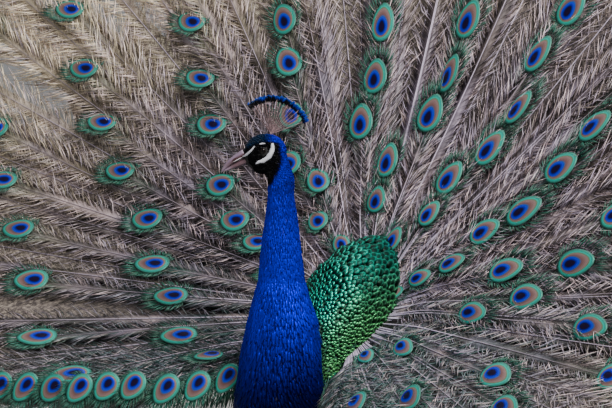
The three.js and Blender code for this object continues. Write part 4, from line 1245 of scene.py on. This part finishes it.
def build_crest():
    """Bare shafts, each with a blue tip that is black beneath, and loose hairs below the tip."""
    root = SKULL - HEAD_FRONT * 0.005 + UP * 0.0275
    stalks, ends, ways, lengths = [], [], [], []
    for i in range(CREST_COUNT):
        share = i / (CREST_COUNT - 1)
        angle = CREST_FRONT + (CREST_BACK - CREST_FRONT) * share
        way = UP * math.cos(angle) - HEAD_FRONT * math.sin(angle)
        length = CREST_HEIGHT + 0.003 * math.sin(i * 2.1) + 0.003 * share
        splay = 0.0032 * (i % 3 - 1)
        run = np.linspace(0, 1, 10)
        path = root + way * (run * (length - 0.007) - CREST_SUNK * (1 - run))[:, None] + HEAD_SIDE * (splay * run)[:, None]
        stalks.append(tube(path, 0.0006 - 0.0002 * run, 5))
        ends.append(root + way * (length - CREST_TIP) + HEAD_SIDE * splay)
        ways.append(way)
        lengths.append(length)
    join("crest_shafts", stalks, srgb(146, 120, 124), tinted_material("crest_shafts", 0.6), "crest_blue", "crest")
    ends, ways = np.array(ends), np.array(ways)
    tips = 190
    share = np.linspace(-0.02, 1.02, tips)
    angle = CREST_FRONT + (CREST_BACK - CREST_FRONT) * share
    way = UP * np.cos(angle)[:, None] - HEAD_FRONT * np.sin(angle)[:, None]
    scallop = np.cos(share * (CREST_COUNT - 1) * 2 * math.pi)
    reach = CREST_HEIGHT + 0.0030 * share + 0.0007 * scallop + rng.uniform(-0.0008, 0.0008, tips)
    lengths = 0.0094 * vary(tips, 0.10)
    start = root + way * (reach - lengths)[:, None] + HEAD_SIDE * (0.0026 * rng.uniform(-1, 1, tips))[:, None]
    face = across_part(np.tile(HEAD_SIDE, (tips, 1)) + 0.5 * rng.normal(size=way.shape), way)
    way = across_part(way + 0.12 * rng.normal(size=way.shape), face)
    points, faces, along, across = leaves(FLAT_LEAF, start, way, face, lengths, 0.0019 * vary(tips, 0.2))
    edge = (0.78 - 0.34 * share + 0.14 * np.sin(share * 23))[:, None]
    tint = mix(srgb(4, 4, 14), srgb(0, 44, 176), smoothstep(along, edge, edge + 0.12))
    tint = mix(tint, srgb(8, 110, 186), smoothstep(along, 0.85, 1.0) * 0.5)
    dress(make_object("crest_tips", points, faces, {"tint": tint.reshape(-1, 3)}),
          tinted_material("crest_tips", 0.45, 0.6, speckle=500.0), "crest_blue")
    each = 24
    which = np.repeat(np.arange(CREST_COUNT), each)
    back = np.tile(np.linspace(0.004, 0.034, each), CREST_COUNT)
    side = np.tile(np.where(np.arange(each) % 2, 1.0, -1.0), CREST_COUNT)
    start = ends[which] - ways[which] * back[:, None]
    over = np.cross(HEAD_SIDE, ways[which])
    way = unit(ways[which] + over * (side * 0.75)[:, None] + 0.15 * rng.normal(size=(len(which), 3)))
    reach = 0.006 * vary(len(which), 0.3) * (1 - 0.6 * back / 0.034)
    points, faces, along, across = spikes(start, start + way * (reach * 0.5)[:, None],
                                          start + way * reach[:, None] + ways[which] * 0.0008,
                                          np.cross(HEAD_SIDE, way), np.tile(HEAD_SIDE, (len(way), 1)),
                                          np.full(len(way), 0.0005))
    tint = np.tile(srgb(84, 68, 72), (points.shape[0] * points.shape[1], 1))
    dress(make_object("crest_hairs", points, faces, {"tint": tint}), tinted_material("crest_hairs", 0.6), "crest_blue")


bare_skin = build_bill()
build_face_patches(bare_skin)
build_eyes(bare_skin)
build_crest()


# ---- wings, tail and legs ---------------------------------------------------------------------
def barred_material(name, period, dark, roughness=0.6):
    """Feathers crossed by wavering dark bars."""
    nodes = Nodes(name)
    wobble = nodes.math("MULTIPLY", nodes.noise(90.0, 3.0), 3.0)
    phase = nodes.math("ADD", nodes.math("MULTIPLY", nodes.attribute("along", "Fac"), period), wobble)
    bars = nodes.span(nodes.math("SINE", phase, 0.0), 0.0, 1.0, -0.5, 0.5)
    colour = nodes.blend(bars, dark, nodes.attribute("tint"))
    grain = nodes.noise(400.0, 4.0)
    nodes.bump(nodes.noise(900.0, 2.0), 0.3)
    return nodes.finish(nodes.scale_colour(colour, nodes.span(grain, 0.75, 1.25, 0.3, 0.7)), roughness)


def vane_material(name, roughness=0.55):
    """Long feathers: a pale shaft, and fine barbs slanting out from it."""
    nodes = Nodes(name)
    across, along = nodes.attribute("across", "Fac"), nodes.attribute("along", "Fac")
    side = nodes.math("ABSOLUTE", across, 0.0)
    slope = nodes.math("SUBTRACT", nodes.math("MULTIPLY", along, 260.0), nodes.math("MULTIPLY", side, 22.0))
    line = nodes.span(nodes.math("SINE", slope, 0.0), 0.8, 1.15, -1.0, 1.0)
    shaft = nodes.span(side, 1.0, 0.0, 0.03, 0.09)
    colour = nodes.blend(shaft, nodes.attribute("tint"), srgb(176, 150, 120))
    grain = nodes.span(nodes.noise(70.0, 4.0), 0.75, 1.25, 0.3, 0.7)
    nodes.bump(line, 0.3, 0.0005)
    return nodes.finish(nodes.scale_colour(colour, nodes.math("MULTIPLY", line, grain)), roughness)


def long_feathers(name, root, tip, normal, width, tint, material, slot, node):
    way = unit(tip - root)
    length = np.linalg.norm(tip - root, axis=1)
    points, faces, along, across = leaves(LONG_LEAF, root, way, across_part(normal, way), length, width)
    colour = np.repeat(tint[:, None], points.shape[1], 1)
    values = {"tint": colour.reshape(-1, 3), "along": along.ravel(), "across": across.ravel()}
    dress(make_object(name, points, faces, values), material, slot, node)


def build_wings():
    barred = barred_material("wing_coverts", 16.0, srgb(34, 30, 28))
    chestnut = vane_material("primaries")
    lining = tinted_material("wing_lining", 0.7)
    for side, sign in (("left", 1), ("right", -1)):
        base = soft_copy(f"wing_base_{side}", [f"wing_{side}"], 0.004, 6, 0.004)
        spots = mesh_values(base.data, "vertices", "co", 3)
        set_tint(base, np.tile(srgb(86, 74, 60), (len(spots), 1)))
        dress(base, lining, "wing_barred", f"wing_{side}")
        place, normal = scatter(base.data, 5000, lambda p: np.ones(len(p)), lambda p: np.full(len(p), 0.0088))
        way = across_part(np.tile([0.05 * sign, 0.94, -0.34], (len(place), 1)), normal)
        size = 0.032 * vary(len(place), 0.12)
        tint = mix(srgb(196, 172, 134), srgb(160, 132, 98), rng.random(len(place)))
        coat_piece(f"wing_coverts_{side}", place, normal, way, size, size * 0.52, ROUND_LEAF, tint, barred,
                   "wing_barred", tilt=0.06)
        k = np.arange(8)[:, None]
        upward = np.array([0, 0.55, 0.83])
        root = np.array([sign * 0.079, 0.222, -0.438]) + upward * (0.032 - 0.0085 * k) + [sign * 0.0012, 0, 0] * k
        tip = np.array([sign * 0.092, 0.372, -0.562]) + upward * (0.012 - 0.0034 * k)
        tip = tip - np.array([0, 0.77, -0.64]) * 0.010 * (7 - k) * 0.5
        long_feathers(f"primary_feathers_{side}", root, tip, np.tile([sign * 1.0, 0, 0.1], (8, 1)),
                      np.full(8, 0.024), np.tile(srgb(150, 86, 46), (8, 1)) * vary(8, 0.1)[:, None],
                      chestnut, "primaries_chestnut", f"primaries_{side}")


def build_tail():
    count = 20
    angle = np.radians(np.linspace(-66, 66, count))
    order = np.arange(count) % 2
    way = np.sin(angle)[:, None] * np.array([1.0, 0, 0]) + np.cos(angle)[:, None] * TRAIN_UP
    start = TRAIN_ROOT - TRAIN_FRONT * (0.0265 + 0.0012 * order)[:, None] + way * 0.03
    end = start + way * (0.396 - 0.02 * np.abs(angle))[:, None]
    long_feathers("tail_feathers", start, end, np.tile(-TRAIN_FRONT, (count, 1)), np.full(count, 0.072),
                  np.tile(srgb(112, 92, 72), (count, 1)) * vary(count, 0.12)[:, None],
                  vane_material("tail_feathers", 0.65), "tail_brown", "tail")


TOES = [(0.082, 0, 0.0064), (0.062, 38, 0.006), (0.060, -36, 0.006), (0.030, 168, 0.0048)]
FOOT_FLOOR, FOOT_Y, FOOT_SPACING = -0.820, 0.163, 0.062


def build_legs():
    nodes = Nodes("leg_scales")
    cells = nodes.add("ShaderNodeTexVoronoi", feature="DISTANCE_TO_EDGE")
    cells.inputs["Scale"].default_value = 190.0
    mapping = nodes.add("ShaderNodeMapping")
    mapping.inputs["Scale"].default_value = (1.0, 1.0, 0.75)
    nodes.link(nodes.add("ShaderNodeTexCoord").outputs["Object"], mapping.inputs["Vector"])
    nodes.link(mapping.outputs["Vector"], cells.inputs["Vector"])
    plate = nodes.span(cells.outputs["Distance"], 0.45, 1.1, 0.0, 0.14)
    nodes.bump(plate, 0.8, 0.0015)
    grain = nodes.span(nodes.noise(60.0), 0.8, 1.2, 0.3, 0.7)
    colour = nodes.scale_colour(nodes.attribute("tint"), nodes.math("MULTIPLY", plate, grain))
    scales = nodes.finish(colour, 0.5)
    claws = []
    for side, sign in (("left", 1), ("right", -1)):
        for part, voxel in (("shank", 0.0011), ("foot", 0.0011)):
            leg = soft_copy(f"{part}_skin_{side}", [f"{part}_{side}"], voxel, 5, 0.0)
            place = mesh_values(leg.data, "vertices", "co", 3)
            tone = mix(srgb(132, 116, 100), srgb(98, 86, 78), smoothstep(place[:, 2], 0.16, 0.02))
            set_tint(leg, tone)
            dress(leg, scales, "leg_scales", f"{part}_{side}")
        for length, turn, thick in TOES:
            angle = math.radians(turn * sign)
            way = np.array([-math.sin(angle), -math.cos(angle), 0.0])
            share = np.linspace(0, 1, 9)
            run = length * (0.78 + 0.225 * share)
            round_ = thick * 0.66 * np.sqrt(1 - (0.97 * share) ** 2)
            height = FOOT_FLOOR + round_ + 0.0006 + 0.0026 * np.sin(math.pi * share)
            path = np.array([sign * FOOT_SPACING, FOOT_Y, 0.0]) + way * run[:, None] + UP * height[:, None]
            claws.append(tube(path, round_, 10))
    join("claws", claws, srgb(44, 38, 36), tinted_material("claws", 0.3, speckle=200.0), "bill_horn")


build_wings()
build_tail()
build_legs()


# ---- stage, lights and camera -----------------------------------------------------------------
def build_stage():
    low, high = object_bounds()
    bpy.ops.mesh.primitive_plane_add(size=14, location=((low[0] + high[0]) / 2, (low[1] + high[1]) / 2, 0))
    floor = bpy.context.object
    floor.name = "floor"
    nodes = Nodes("floor")
    floor.data.materials.append(nodes.finish((0.55, 0.54, 0.52), 0.9))
    world = bpy.data.worlds.new("studio")
    world.use_nodes = True
    world.node_tree.nodes["Background"].inputs["Color"].default_value = (0.75, 0.76, 0.78, 1)
    world.node_tree.nodes["Background"].inputs["Strength"].default_value = 0.34
    bpy.context.scene.world = world


def add_light(name, place, target, size, power, colour=(1, 1, 1)):
    data = bpy.data.lights.new(name, "AREA")
    data.size = size
    data.energy = power
    data.color = colour
    light = bpy.data.objects.new(name, data)
    light.location = place
    light.rotation_euler = (Vector(target) - Vector(place)).to_track_quat("-Z", "Y").to_euler()
    bpy.context.scene.collection.objects.link(light)


def build_camera():
    right = np.array([math.cos(VIEW_AZIMUTH), math.sin(VIEW_AZIMUTH), 0.0])
    back = np.array([math.sin(VIEW_AZIMUTH) * math.cos(VIEW_ELEVATION),
                     -math.cos(VIEW_AZIMUTH) * math.cos(VIEW_ELEVATION), math.sin(VIEW_ELEVATION)])
    upward = np.cross(back, right)
    target = ORIGIN + EYES_FROM_ORIGIN + right * 0.0624 - upward * 0.0783
    data = bpy.data.cameras.new("camera")
    data.lens = VIEW_LENS
    data.sensor_width = 36
    camera = bpy.data.objects.new("camera", data)
    camera.location = target + back * VIEW_DISTANCE
    camera.rotation_euler = Vector(-back).to_track_quat("-Z", "Y").to_euler()
    bpy.context.scene.collection.objects.link(camera)
    bpy.context.scene.camera = camera
    key_place = target + back * 1.9 + right * 1.3 + upward * 2.2
    add_light("key", key_place, target, 1.3, 190, (1.0, 0.97, 0.93))
    add_light("fill", target + back * 2.2 - right * 2.4 + upward * 0.8, target, 2.0, 6, (0.95, 0.97, 1.0))
    add_light("rim", target - back * 1.2 + upward * 2.2 + right * 0.4, target, 1.2, 40)


build_stage()
build_camera()
